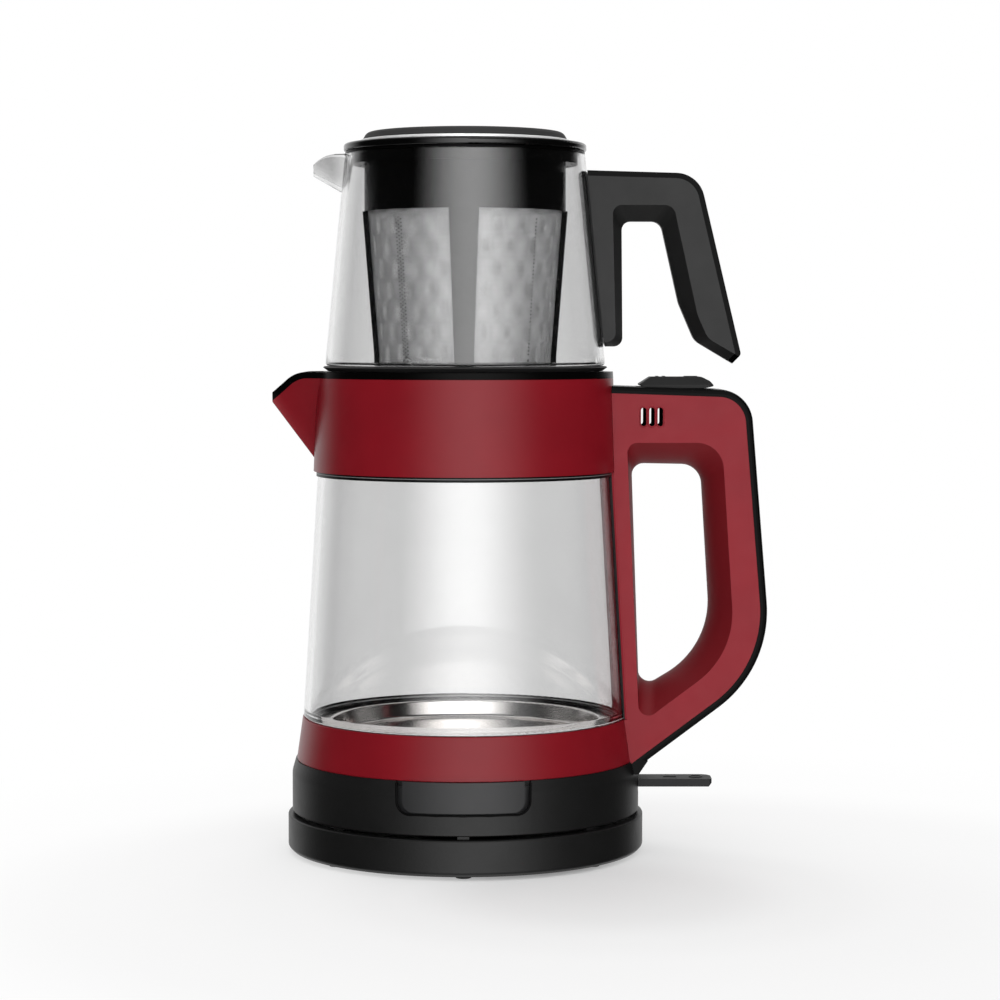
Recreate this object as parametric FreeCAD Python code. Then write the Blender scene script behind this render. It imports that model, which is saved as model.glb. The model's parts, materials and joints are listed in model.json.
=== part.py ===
import FreeCAD, Part
import math
import os

Vector = FreeCAD.Vector

# Two-tier electric tea maker: a glass kettle on a cordless power base, and a glass teapot with a
# strainer that stands on the kettle's lid.  Millimetres.  The origin is on the kettle's axis at
# floor level; +Z is up, the handles point along +X and the spouts along -X.

# ---- clearances ---------------------------------------------------------------------------------
rest_gap = 0.3          # between a piece that lifts off and what it stands on
fit_gap = 0.05          # between fixed neighbours, and round pins
loose_gap = 0.3         # round covers, plates and screw heads dropped into a shell
edge_break = 0.5        # small chamfers
overlap = 0.5           # how far joined pieces run into each other
beyond = 1.0            # how far a cutter runs past the face that it opens
cutter = 400.0          # length of blocks and planes that run past the whole object

# ---- power base ---------------------------------------------------------------------------------
base_radius = 80.0
base_height = 15.7
base_wall = 2.6
base_lip = 3.8
base_edge = 1.5         # rounding of the lower edge
deck_depth = 3.6        # from the lip down to the deck
deck_thickness = 2.0
foot_height = 1.5       # bare foot below the edge of the base
foot_radius = 3.8
foot_neck = 2.0
foot_barb = 2.8         # head that holds a foot in the bottom plate
foot_barb_height = 0.8
foot_inset = 8.75       # foot's centre inside the edge of the base
foot_count = 7
plate_lift = 0.6        # bottom plate above the edge of the base
plate_thickness = 1.8
rib_thickness = 1.6
base_rib_count = 8
rib_inset = 6.0         # ribs outside the coupler's shoulder
rib_gap = 1.4           # ribs above the bottom plate
base_screw_inset = 20.0
boss_wall = 2.2         # plastic around a screw
gland_radius = 3.8
gland_bore = 3.1
gland_length = 9.0
gland_flange_length = 4.0
gland_inset = 0.2       # gland inside the skirt's surface
gland_angle = 90.0

# ---- screws -------------------------------------------------------------------------------------
screw_radius = 1.45
screw_head = 2.7
screw_head_height = 1.5
screw_slot = (3.2, 0.7, 0.6)
screw_count = 4
screw_start = 45.0      # degrees from the handles to the first screw
base_screw_length = 7.0
housing_screw_length = 9.0
screw_bite = 6.0        # length of a handle screw inside the handle

# ---- coupler between base and kettle ------------------------------------------------------------
coupler_radius = 15.0
coupler_shoulder = 20.0
coupler_flange = 4.0
coupler_flange_height = 2.4
coupler_height = 14.0   # above the deck
shoulder_height = 2.5
pin_bore = 2.4
slot_inner = 7.0
slot_outer = 9.6
contact_thickness = 0.5
blade_half = 2.0
blade_drop = 2.0        # blades below the coupler's top
cup_height = 1.2
contact_pin = 1.8
contact_pin_rise = 2.5  # pin's and ring's ends above the deck
contact_ring_rise = 4.0
contact_ring_half = 0.5
splash_ring_thickness = 1.5
socket_wall = 8.0       # socket outside its cavity
socket_flange = 3.0
socket_clearance = 1.0  # socket's cavity around the coupler
socket_roof = 10.4      # solid part of the socket above its cavity
socket_chamfer = 2.0
socket_flange_height = 1.6

# ---- kettle body, from the bottom up ------------------------------------------------------------
ride_gap = 1.4          # housing above the lip of the base
housing_inset = 1.9     # housing inside the edge of the base
housing_height = 23.1
housing_wall = 2.4
shoulder_drop = 5.6     # height of the rounded shoulder
shoulder_round = 9.0
shoulder_step = 1.6     # how far the shoulder draws in
tab_width = 5.0
tab_count = 8
cover_lift = 1.8        # bottom cover above the housing's edge
cover_thickness = 2.0
column_inset = 4.0      # screw columns inside the housing's wall
column_wall = 2.8
spigot_wall = 2.0       # collar of the housing inside the lower band
band_skin = 1.2
band_inset = 2.1        # lower band inside the housing
band_taper = 2.7
lower_band_height = 19.0
glass_inset = 0.3       # glass inside the top of the lower band
glass_taper = 6.7
glass_height = 108.2    # bare glass between the bands
glass_wall = 3.0
glass_neck = 4.6        # glass below the top of the lower band
neck_step = 1.9
gasket_height = 2.2
glass_grip = 6.0        # glass inside the upper band
upper_band_out = 1.8    # upper band outside the top of the glass
upper_band_taper = 1.7
upper_band_height = 41.5
collar_wall = 2.0
collar_seat = 1.4       # gasket between the glass and the collar
gasket_lip = 1.2        # gasket inside the glass's wall
rim_height = 2.9
rim_ledge = 6.9         # rim inside the band

# ---- steel dish and heater ----------------------------------------------------------------------
seal_thickness = 1.6    # seal under the glass
dish_skin = 1.0
dish_rim_drop = 1.1     # raised rim below the glass line
dish_depth = 7.6
dish_inset = 13.5       # bowl inside the glass's foot
dish_lean = 1.6         # bowl's rim outside its floor
dish_fall = 1.4         # how far the raised rim falls outwards
dish_gap = 2.2          # dish inside the glass's wall
seal_floor = 1.5        # seal under the glass
seal_gap = 2.0          # seal inside the glass's wall
seal_lip = 1.0
seal_lip_height = 2.0
seal_rise = 0.2         # seal above the band
spreader_radius = 46.0
spreader_thickness = 2.5
element_radius = 38.0
element_thickness = 3.2
element_sink = 1.1      # element bedded in the spreader
element_angle = 30.0    # from the handle's side to each end of the element
element_lead = 3.0
element_lead_length = 8.0
spreader_flare = 2.0
control_radius = 13.0
control_step = 3.0
control_tab_reach = 17.4
control_tab_half = 3.0
control_tab_thickness = 0.8
control_tab_height = 2.4

# ---- kettle spout -------------------------------------------------------------------------------
spout_reach = 86.6      # tip from the axis
spout_root = 58.0
spout_half_width = 26.6
spout_tip_half = 2.6
spout_keel_root = 48.7  # keel below the rim's underside, at the root
spout_keel_tip = 10.4
spout_flat = 70.0       # the top edge is level out to here, then curves down
spout_bend = 15.0
spout_fall = 40.0       # degrees
keel_half = 0.8         # half the width of the rounded keel
keel_rise = 1.3         # keel's rise for each millimetre that the section is drawn in
flare_width = 0.42      # where the curved sides pass, as parts of their width and height
flare_height = 0.58
ledge_lip = 2.0         # edge of the rim's ledge
ledge_slope = 6.0
throat_step = 6.0       # spout's throat outside the opening
filter_drop = 6.2       # filter's top below the rim's underside
filter_height = 19.8
filter_half = 27.0
filter_thickness = 1.2
filter_slot = 1.2
filter_pitch = 3.0
filter_row = 4.2
filter_rows = 4
filter_columns = 11

# ---- front window and power lever ---------------------------------------------------------------
window_half = 28.9
window_sill = 8.6       # above the bottom of the housing
window_corner = 6.0
window_gap = 2.8
window_sill_gap = 1.2
window_recess = 0.6
window_flange = 3.0     # flange behind the wall, beyond the opening
window_flange_thickness = 1.6
window_step = 0.6       # how far the opening is cut inside the wall, under the shoulder
peg_radius = 2.0
peg_spacing = 15.0
board_half_width = 22.0
board_half_height = 5.5
board_thickness = 1.6
board_inset = 6.5       # board behind the housing's wall
lamp_radius = 1.5
lamp_height = 2.0
lamp_pitch = 8.0
lamp_rise = 2.0         # lamps above the middle of the board
lever_out = 32.9        # lever beyond the housing
lever_pivot_inset = 16.1
lever_half_width = 7.0
lever_thickness = 3.5
lever_height = 11.95    # pivot above the bottom of the housing
lever_pin_radius = 1.5
lever_travel = 8.0      # degrees
lever_tail = 6.0        # lever inside its pivot
lever_hub_wall = 2.0
lever_slot_gap = 0.5
lever_ear_half = 4.5    # ears of the bottom cover that carry the pin
lever_ear_top_half = 3.2
lever_ear_thickness = 2.4
lever_ear_gap = 0.4
lever_round_left = 1.5
lever_round_right = 5.0
lever_bevel = 2.2
lever_ring_inset = 6.9  # ring mark from the lever's end
lever_dash_inset = 18.7
ring_mark = 3.1
ring_mark_width = 0.9
dash_mark = 5.8
dash_mark_width = 1.2
mark_height = 0.3
switch_length = 14.0
switch_half_width = 8.0
switch_height = 11.0
switch_gap = 2.0        # between the lever's tail and the switch
switch_button = 3.0
switch_button_height = 1.5
switch_tab = (0.8, 4.0, 6.0)
switch_tab_offset = 5.0

# ---- kettle handle ------------------------------------------------------------------------------
grip_half_top = 14.0    # half the width across the handle at its top
grip_half_foot = 19.5   # and at its foot
grip_top_drop = 6.2     # top line of the red handle below the rim's underside
grip_top_fall = 2.4     # how far that line falls to the knuckle
grip_knuckle_reach = 55.9       # upper outer corner beyond the upper band
grip_knuckle_round = 12.0
grip_elbow_reach = 57.4         # lower outer corner beyond the lower band
grip_elbow_rise = 43.5          # above the lower band's seat
grip_elbow_round = 50.0
grip_foot_inset = 1.1           # where the lower line meets the band's seat, inside the band
spine_thickness = 3.3
spine_round = 2.0
toe_reach = 5.5         # tip of the spine's foot beyond the lower band
toe_rise = 0.6
toe_back = 3.0
toe_inset = 0.7         # spine's foot inside the housing
toe_lift = 0.2
tongue_depth = 2.0
liner_thickness = 1.5
channel_half = 10.5
channel_wall = 2.5
channel_root = 7.3      # solid root of the handle beyond the upper band
foot_block = 15.0       # height of the solid foot, which takes the lowest screw
handle_screw_drops = (13.0, 30.0)       # upper screws below the rim's underside
handle_screw_rise = 8.0                 # lower screw above the band's seat
vent_count = 3
vent_width = 2.3
vent_pitch = 3.7
vent_length = 8.2
vent_drop = 21.2        # lower end of the slots below the rim's underside
vent_out = 11.3         # first slot beyond the upper band
vent_margin = 1.8
vent_round = 1.0
rocker_length = 31.0
rocker_out = 26.2       # rocker's middle beyond the upper band
rocker_half_width = 9.5
rocker_rise = 5.0
rocker_overhang = 1.5   # bevelled ends beyond the rocker's length
rocker_pin_radius = 1.2
rocker_hub = 2.6
rocker_pivot_drop = 4.7 # pivot below the spine's top
rocker_hub_half = 5.6
rocker_web_half = 2.0
rocker_ear_gap = 0.4
rocker_ear_thickness = 1.6
rocker_well_half = 7.0
rocker_seat = 0.1       # rocker's base below the spine's top
rocker_flank = 2.6      # how far the rocker's sides lean in
rocker_mark_offset = 6.8
rocker_bar_spacing = 3.0
switch_block_half = 4.0
switch_block_width = 10.0
plunger_half = 1.1
plunger_rise = 1.6
rocker_room = 0.8       # pocket beyond the rocker's ends
pocket_depth = 1.5

# finger hole: each size at mid-depth and at the side faces
hole_root = (6.6, 3.9)          # from the upper band
hole_top_drop = (38.2, 28.6)    # below the rim's underside
hole_top_slope = (0.6, 0.0)
hole_knuckle = (18.5, 9.6)      # inside the knuckle
hole_elbow = (22.8, 13.2)       # inside the elbow
hole_elbow_rise = (49.8, 48.4)  # above the band's seat
hole_foot_root = (2.2, 1.6)     # from the lower band
hole_foot_rise = (30.3, 16.7)   # above the band's seat
hole_corner = (5.2, 4.5)
hole_knuckle_round = (9.0, 12.0)
hole_elbow_round = 38.0

# ---- kettle lid ---------------------------------------------------------------------------------
lid_inset = 2.7         # lid inside the upper band
lid_thickness = 2.1
lid_undercut = 2.2
lid_skirt_gap = 1.9     # plug of the lid inside the rim
lid_skirt_depth = 9.0
lid_wall = 2.0
lid_cup_radius = 24.0
lid_cup_depth = 9.0
lid_cup_floor = 1.6
lid_cup_slope = 3.0     # cup's wall, from top to floor
lid_under_step = 0.4
lid_bar_half = 4.5
lid_bar_height = 2.4
lid_seal_height = 4.8
lid_seal_body = 0.6
steam_hole = 3.0
steam_hole_pitch = 36.0
steam_hole_count = 10

# ---- teapot -------------------------------------------------------------------------------------
pot_inset = 0.9         # teapot's foot inside the edge of the kettle's lid
pot_taper = 9.1
pot_height = 93.9
pot_wall = 2.3
pot_floor = 2.8
pot_heel = 4.0
punt_inset = 9.0        # hollow under the foot
punt_height = 0.8
punt_slope = 2.0
pot_spout_out = 14.1    # tip of the lip beyond the pot's top
pot_spout_half = 12.0
pot_spout_tip_half = 1.6
pot_spout_keel_root = 18.6
pot_spout_keel_tip = 9.2
pot_spout_flat = 3.8    # level edge beyond the pot's top
pot_spout_bend = 14.0
pot_spout_fall = 42.0   # degrees
pot_grip_half = 10.0
pot_trim = 2.4
pot_pad = 0.8           # bonding pad between the handle and the glass
pot_pad_rise = 12.5     # pad's lower edge above the pot's foot
pot_pad_top_drop = 9.0
pot_spout_root = 2.6    # root of the lip inside the pot's top

# teapot handle: drops are below the pot's top, rises above its foot, reaches beyond the pot's top
hook_top_drop = 7.0
hook_knuckle_reach = 50.2
hook_knuckle_drop = 8.7
hook_knuckle_round = 13.0
hook_tip_reach = 69.2
hook_tip_rise = 5.1
hook_toe_reach = 65.9
hook_toe_rise = 0.9
hook_tip_round = 2.0
hook_toe_round = 1.0
hook_close_inset = 9.6  # closing point under the hook's open end
hook_close_drop = 8.0

# open finger space of the hook: each size at mid-depth and at the side faces
gap_root = (16.2, 11.6)
gap_arm_root = (16.7, 13.2)
gap_top_drop = (29.6, 22.1)
gap_knuckle = (33.5, 39.4)
gap_waist = (41.7, 50.3)
gap_waist_rise = (27.9, 22.4)
gap_toe = (48.9, 54.8)
gap_toe_rise = (11.1, 12.2)
gap_mouth_reach = 76.3
gap_mouth_drop = (5.3, 0.2)
gap_arm_rise = (8.5, 10.7)
gap_land = 3.0          # half the width of the straight middle
gap_root_round = 4.0
gap_knuckle_round = 5.0
gap_waist_round = 14.0
gap_toe_round = 8.0

# ---- strainer -----------------------------------------------------------------------------------
strainer_flange = 0.8
strainer_seat_inset = 3.4       # hanging collar inside the pot's top
strainer_seat_depth = 4.6
strainer_rim_inset = 0.2        # flange inside the pot's edge
collar_inset = 8.7
collar_depth = 25.4
strainer_taper = 5.4
strainer_floor_gap = 0.8
strainer_wall = 1.4
mesh_thickness = 0.5
rib_width_top = 13.0
rib_width_foot = 8.2
rib_count = 4
hoop_height = 2.6
spoke_half = 1.6
spoke_thickness = 1.2
hub_radius = 6.0

# ---- teapot lid ---------------------------------------------------------------------------------
pot_lid_overhang = 0.5
pot_lid_face = 3.3
pot_lid_cone = 0.5
pot_ring_inset = 7.2
pot_ring_width = 7.2
pot_ring_height = 1.1
pot_disc_inset = 1.2    # disc inside the ring
pot_disc_height = 4.0
pot_disc_round = 1.6
pot_disc_draft = 0.3
pot_lid_round = 1.3
pot_lid_land = 0.6      # lid's flat top outside the ring
pot_lid_plug = 2.4      # plug of the lid inside the strainer's collar
pot_lid_plug_wall = 1.8
pot_lid_plug_depth = 9.0
pot_seal_drop = 2.5     # seal below the lid
pot_seal_height = 3.6
pot_seal_body = 0.3

# ---- radii worked out from the sizes above ------------------------------------------------------
foot_pitch = base_radius - foot_inset
base_screw_pitch = base_radius - base_screw_inset
housing_radius = base_radius - housing_inset
column_pitch = housing_radius - housing_wall - column_inset
socket_cavity = coupler_radius + socket_clearance
socket_radius = socket_cavity + socket_wall
lower_band_bottom = housing_radius - band_inset
lower_band_top = lower_band_bottom - band_taper
glass_bottom = lower_band_top - glass_inset
glass_top = glass_bottom - glass_taper
neck_radius = glass_bottom - neck_step
upper_band_bottom = glass_top + upper_band_out
upper_band_top = upper_band_bottom - upper_band_taper
opening_radius = upper_band_top - rim_ledge
dish_bowl = glass_bottom - dish_inset
lever_pivot = housing_radius - lever_pivot_inset
lever_reach = housing_radius + lever_out
grip_knuckle = upper_band_bottom + grip_knuckle_reach
grip_elbow = lower_band_bottom + grip_elbow_reach
grip_foot = lower_band_bottom - grip_foot_inset
channel_start = upper_band_bottom + channel_root
vent_start = upper_band_bottom + vent_out
vent_end = vent_start + (vent_count - 1) * vent_pitch + vent_width / 2
rocker_centre = upper_band_bottom + rocker_out
lid_radius = upper_band_top - lid_inset
lid_skirt = opening_radius - lid_skirt_gap
pot_bottom_radius = lid_radius - pot_inset
pot_top_radius = pot_bottom_radius - pot_taper
pot_spout_reach = pot_top_radius + pot_spout_out
strainer_seat = pot_top_radius - strainer_seat_inset
collar_radius = pot_top_radius - collar_inset
strainer_foot_radius = collar_radius - strainer_taper
pot_lid_radius = pot_top_radius + pot_lid_overhang
pot_ring_radius = pot_lid_radius - pot_ring_inset
pot_disc_radius = pot_ring_radius - pot_disc_inset
pot_plug_radius = collar_radius - pot_lid_plug

# ---- heights worked out from the sizes above ----------------------------------------------------
base_top = foot_height + base_height
deck_top = base_top - deck_depth
deck_bottom = deck_top - deck_thickness
plate_bottom = foot_height + plate_lift
plate_top = plate_bottom + plate_thickness
coupler_top = deck_top + coupler_height
shoulder_top = deck_top + shoulder_height
socket_ceiling = coupler_top + socket_clearance
socket_top = socket_ceiling + socket_roof
housing_bottom = base_top + ride_gap
cover_bottom = housing_bottom + cover_lift
cover_top = cover_bottom + cover_thickness
lever_line = housing_bottom + lever_height
band_seat = housing_bottom + housing_height
glass_line = band_seat + lower_band_height
seal_bottom = glass_line - glass_neck - seal_thickness
dish_flange = seal_bottom - dish_skin
dish_rim = glass_line - dish_rim_drop
dish_floor = dish_rim - dish_depth
window_middle = (housing_bottom + window_sill + band_seat - housing_wall) / 2
gasket_line = glass_line + glass_height
upper_seat = gasket_line + gasket_height
glass_end = upper_seat + glass_grip
rim_line = upper_seat + upper_band_height
rim_top = rim_line + rim_height
vent_low = rim_line - vent_drop
hole_top = rim_line - hole_top_drop[1]
lid_bottom = rim_top + rest_gap
lid_top = lid_bottom + lid_thickness
pot_bottom = lid_top + rest_gap
pot_top = pot_bottom + pot_height
strainer_bottom = pot_bottom + pot_floor + strainer_floor_gap
collar_bottom = pot_top - collar_depth
flange_bottom = pot_top + rest_gap
flange_top = flange_bottom + strainer_flange
pot_lid_bottom = flange_top + rest_gap
pot_lid_shoulder = pot_lid_bottom + pot_lid_face
ring_seat = pot_lid_shoulder + pot_lid_cone
board_front = -(housing_radius - housing_wall - board_inset)


def slope(start, end, first, last, height):
    """Radius at a height on the straight line from first (at start) to last (at end)."""
    return first + (last - first) * (height - start) / (end - start)


def lower_band_radius(height):
    return slope(band_seat, glass_line, lower_band_bottom, lower_band_top, height)


def glass_radius(height):
    return slope(glass_line, gasket_line, glass_bottom, glass_top, height)


def upper_band_radius(height):
    return slope(upper_seat, rim_line, upper_band_bottom, upper_band_top, height)


def pot_radius(height):
    return slope(pot_bottom, pot_top, pot_bottom_radius, pot_top_radius, height)


# ---- shape helpers ------------------------------------------------------------------------------
def upright(depth):
    """Places (u, v) at X = u, Z = v, at one depth along Y."""
    return lambda point: Vector(point.x, depth, point.y)


def level(height):
    """Places (u, v) at X = u, Y = v, at one height."""
    return lambda point: Vector(point.x, point.y, height)


def rounded_wire(corners, place):
    """Closed wire through (u, v) or (u, v, radius) corners, rounded where a radius is given."""
    bends = []
    for index, corner in enumerate(corners):
        here = Vector(corner[0], corner[1], 0)
        before = corners[index - 1]
        after = corners[(index + 1) % len(corners)]
        radius = corner[2] if len(corner) > 2 else 0
        if radius == 0:
            bends.append((here, None, here))
            continue
        back = Vector(before[0], before[1], 0) - here
        onward = Vector(after[0], after[1], 0) - here
        back = back * (1 / back.Length)
        onward = onward * (1 / onward.Length)
        half_angle = back.getAngle(onward) / 2
        reach = radius / math.tan(half_angle)
        middle = back + onward
        middle = middle * ((radius / math.sin(half_angle) - radius) / middle.Length)
        bends.append((here + back * reach, here + middle, here + onward * reach))
    edges = []
    for index, (start, middle, end) in enumerate(bends):
        if middle is not None:
            edges.append(Part.Arc(place(start), place(middle), place(end)).toShape())
        following = bends[(index + 1) % len(bends)][0]
        if (following - end).Length > 1e-6:
            edges.append(Part.makeLine(place(end), place(following)))
    return Part.Wire(edges)


def grown(corners, growth):
    """Clockwise outline with each side moved out by a growth, its rounded corners kept concentric."""
    moved = []
    for index, corner in enumerate(corners):
        here = Vector(corner[0], corner[1], 0)
        before = corners[index - 1]
        after = corners[(index + 1) % len(corners)]
        incoming = here - Vector(before[0], before[1], 0)
        outgoing = Vector(after[0], after[1], 0) - here
        first = Vector(-incoming.y, incoming.x, 0) * (1 / incoming.Length)
        second = Vector(-outgoing.y, outgoing.x, 0) * (1 / outgoing.Length)
        shift = (first + second) * (growth / (1 + first.dot(second)))
        radius = corner[2] if len(corner) > 2 else 0
        moved.append((here.x + shift.x, here.y + shift.y, max(radius + growth, 0) if radius else 0))
    return tuple(moved)


def turned(*corners):
    """Solid of revolution about Z from (radius, height) or (radius, height, rounding) corners."""
    face = Part.Face(rounded_wire(corners, upright(0)))
    return face.revolve(Vector(), Vector(0, 0, 1), 360)


def slab(corners, half_depth):
    """Outline in X and Z, extruded along Y to both sides."""
    face = Part.Face(rounded_wire(corners, upright(-half_depth)))
    return face.extrude(Vector(0, 2 * half_depth, 0))


def tile(corners, bottom, top):
    """Outline in X and Y, extruded from bottom to top."""
    return Part.Face(rounded_wire(corners, level(bottom))).extrude(Vector(0, 0, top - bottom))


def post(radius, bottom, top, distance=0, angle=0):
    """Upright cylinder at a distance from the axis in a direction."""
    turn = math.radians(angle)
    place = Vector(distance * math.cos(turn), distance * math.sin(turn), bottom)
    return Part.makeCylinder(radius, top - bottom, place)


def brick(x_range, y_range, z_range):
    size = [high - low for low, high in (x_range, y_range, z_range)]
    return Part.makeBox(size[0], size[1], size[2], Vector(x_range[0], y_range[0], z_range[0]))


def crosswise(radius, half_length, distance, height):
    """Cylinder along Y, centred on the handles' plane."""
    return Part.makeCylinder(radius, 2 * half_length, Vector(distance, -half_length, height), Vector(0, 1, 0))


def around(shape, count, start=0.0):
    """Copies of a shape, evenly spaced about the axis."""
    copies = []
    for index in range(count):
        copy = shape.copy()
        copy.rotate(Vector(), Vector(0, 0, 1), start + index * 360 / count)
        copies.append(copy)
    return copies


def joined(first, *others):
    shape = first
    for other in others:
        shape = shape.fuse(other)
    return shape.removeSplitter()


def save(name, shape):
    """Writes one node, after checking that it is made of sound solids."""
    solids = shape.Solids
    if not solids or not all(solid.isValid() and solid.Volume > 0 for solid in solids):
        raise ValueError("unsound shape: " + name)
    whole = solids[0] if len(solids) == 1 else Part.makeCompound(solids)
    whole.exportStep("parts/" + name + ".step")


# ---- power base ---------------------------------------------------------------------------------
def base_shell():
    inner = base_radius - base_wall
    lip = base_radius - base_lip
    hub = coupler_shoulder + fit_gap
    shell = turned(
        (base_radius - base_edge, foot_height), (base_radius, foot_height + base_edge, base_edge),
        (base_radius, base_top, 0.8), (lip, base_top), (lip, deck_top), (hub, deck_top), (hub, deck_bottom),
        (inner, deck_bottom), (inner, foot_height))
    rib = brick((coupler_shoulder + rib_inset, inner + overlap), (-rib_thickness / 2, rib_thickness / 2),
                (plate_top + rib_gap, deck_bottom + overlap))
    boss = post(screw_radius + boss_wall, plate_top, deck_bottom + overlap, base_screw_pitch)
    ribs = around(rib, base_rib_count, 180 / base_rib_count)
    shell = joined(shell, *ribs, *around(boss, screw_count, screw_start))
    bore = post(screw_radius + fit_gap, plate_top - beyond, deck_bottom - beyond, base_screw_pitch)
    shell = shell.cut(Part.makeCompound(around(bore, screw_count, screw_start)))
    return shell.cut(gland_cylinder(gland_radius + fit_gap, gland_length + gland_flange_length))


def gland_cylinder(radius, depth):
    """Cylinder through the skirt of the base at the cord outlet."""
    height = (plate_top + deck_bottom) / 2
    start = Vector(base_radius + beyond - depth, 0, height)
    cylinder = Part.makeCylinder(radius, depth, start, Vector(1, 0, 0))
    cylinder.rotate(Vector(), Vector(0, 0, 1), gland_angle)
    return cylinder


def cord_gland():
    skirt = post(base_radius - gland_inset, foot_height, deck_bottom)
    inner = post(base_radius - base_wall - fit_gap, foot_height, deck_bottom)
    bush = gland_cylinder(gland_radius, gland_length).common(skirt)
    flange_radius = (deck_bottom - plate_top) / 2 - fit_gap
    flange_depth = base_wall + gland_flange_length
    flange = gland_cylinder(flange_radius, flange_depth).common(inner)
    return joined(bush, flange).cut(gland_cylinder(gland_bore, 2 * gland_length))


def base_plate():
    plate = post(base_radius - base_wall - loose_gap, plate_bottom, plate_top)
    neck = post(foot_neck + fit_gap, plate_bottom - beyond, plate_top + beyond, foot_pitch)
    bore = post(screw_radius + loose_gap, plate_bottom - beyond, plate_top + beyond, base_screw_pitch)
    holes = around(neck, foot_count, -90) + around(bore, screw_count, screw_start)
    return plate.cut(Part.makeCompound(holes))


def base_feet():
    """Rubber feet, one of them at the front, pressed into the bottom plate."""
    barb_top = plate_top + foot_barb_height
    pad = turned(
        (0, 0), (foot_radius - edge_break, 0), (foot_radius, edge_break), (foot_radius, plate_bottom),
        (foot_neck, plate_bottom), (foot_neck, plate_top), (foot_barb, plate_top), (foot_neck, barb_top),
        (0, barb_top))
    pad.translate(Vector(foot_pitch, 0, 0))
    return Part.makeCompound(around(pad, foot_count, -90))


def screws(under, length, pitch):
    """Pan-head screws standing on a circle, heads below the face they clamp."""
    bottom = under - screw_head_height
    screw = turned(
        (0, bottom), (screw_head - edge_break, bottom), (screw_head, bottom + edge_break), (screw_head, under),
        (screw_radius, under), (screw_radius, under + length), (0, under + length))
    long, wide, deep = screw_slot
    drive = brick((-long / 2, long / 2), (-wide / 2, wide / 2), (bottom - beyond, bottom + deep))
    screw = screw.cut(drive)
    screw.translate(Vector(pitch, 0, 0))
    return Part.makeCompound(around(screw, screw_count, screw_start))


def base_screws():
    return screws(plate_bottom, base_screw_length, base_screw_pitch)


def base_coupler():
    bottom = deck_bottom - coupler_flange_height
    body = turned(
        (0, bottom), (coupler_shoulder + coupler_flange, bottom), (coupler_shoulder + coupler_flange, deck_bottom),
        (coupler_shoulder, deck_bottom), (coupler_shoulder, shoulder_top), (coupler_radius, shoulder_top),
        (coupler_radius, coupler_top, 1.5), (0, coupler_top))
    slot = post(slot_outer, deck_top, coupler_top + beyond)
    slot = slot.cut(post(slot_inner, deck_top - beyond, coupler_top + 2 * beyond))
    return body.cut(slot).cut(post(pin_bore, deck_top, coupler_top + beyond))


def coupler_contacts():
    """Three spring blades in the ring slot and a cup for the middle pin."""
    blade = brick((slot_inner, slot_inner + contact_thickness), (-blade_half, blade_half),
                  (deck_top, coupler_top - blade_drop))
    blade = blade.cut(post(slot_inner, deck_top - beyond, coupler_top))
    cup = post(pin_bore, deck_top, deck_top + cup_height)
    return Part.makeCompound(around(blade, 3, 90) + [cup])


def splash_ring():
    bottom = shoulder_top + rest_gap
    top = bottom + splash_ring_thickness
    inner = coupler_radius + rest_gap
    outer = coupler_shoulder - edge_break
    return turned((inner, bottom), (outer, bottom), (outer, top - 2 * edge_break), (outer - 2 * edge_break, top),
                  (inner, top))


# ---- kettle housing -----------------------------------------------------------------------------
def window_outline(side_gap, sill_gap, top):
    """U-shaped outline of the front window, smaller by a gap at its sides and sill."""
    half = window_half - side_gap
    sill = housing_bottom + window_sill + sill_gap
    corner = max(window_corner - side_gap / 2, edge_break)
    return ((-half, top), (-half, sill, corner), (half, sill, corner), (half, top))


def front_block(outline):
    """The part of an outline prism that lies at the front of the kettle."""
    face = Part.Face(rounded_wire(outline, upright(-housing_radius - beyond)))
    return face.extrude(Vector(0, housing_radius / 2, 0))


def spigot_radius(height):
    """Outside of the housing's collar within the lower band."""
    return lower_band_radius(height) - band_skin - fit_gap


def housing_inner(height):
    """Inside of the housing's collar within the lower band."""
    return spigot_radius(height) - spigot_wall


def kettle_housing():
    inner = housing_radius - housing_wall
    shoulder = housing_radius - shoulder_step
    ceiling = band_seat - housing_wall
    shell = turned(
        (housing_radius - edge_break, housing_bottom), (housing_radius, housing_bottom + edge_break),
        (housing_radius, band_seat - shoulder_drop, shoulder_round), (shoulder, band_seat),
        (spigot_radius(band_seat), band_seat), (spigot_radius(dish_flange), dish_flange),
        (housing_inner(dish_flange), dish_flange), (housing_inner(band_seat), band_seat),
        (housing_inner(band_seat), ceiling), (inner, ceiling), (inner, housing_bottom))
    tab = brick((inner + edge_break, housing_radius - edge_break), (-tab_width / 2, tab_width / 2),
                (base_top + rest_gap, housing_bottom + beyond))
    column = post(screw_radius + column_wall, cover_top, ceiling + overlap, column_pitch)
    envelope = post(housing_radius - beyond, cover_top, band_seat)
    columns = [copy.common(envelope) for copy in around(column, screw_count, screw_start)]
    shell = joined(shell, *around(tab, tab_count), *columns)
    bore = post(screw_radius + fit_gap, cover_top - beyond, cover_bottom + housing_screw_length + beyond,
                column_pitch)
    shell = shell.cut(Part.makeCompound(around(bore, screw_count, screw_start)))
    front = front_block(window_outline(0, 0, band_seat + shoulder_drop))
    behind = post(inner - window_step, housing_bottom - beyond, band_seat + shoulder_drop + beyond)
    return shell.cut(front.cut(behind)).cut(lever_slot()).cut(handle_screw_bores())


def lever_slot():
    """Slot in the housing wall with room for the lever's travel."""
    swing = math.tan(math.radians(lever_travel)) * (housing_radius - lever_pivot)
    half_height = lever_thickness / 2 + lever_slot_gap
    return brick((housing_radius - housing_wall - column_inset, housing_radius + beyond),
                 (-lever_half_width - lever_slot_gap, lever_half_width + lever_slot_gap),
                 (lever_line - half_height - swing, lever_line + half_height))


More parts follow.
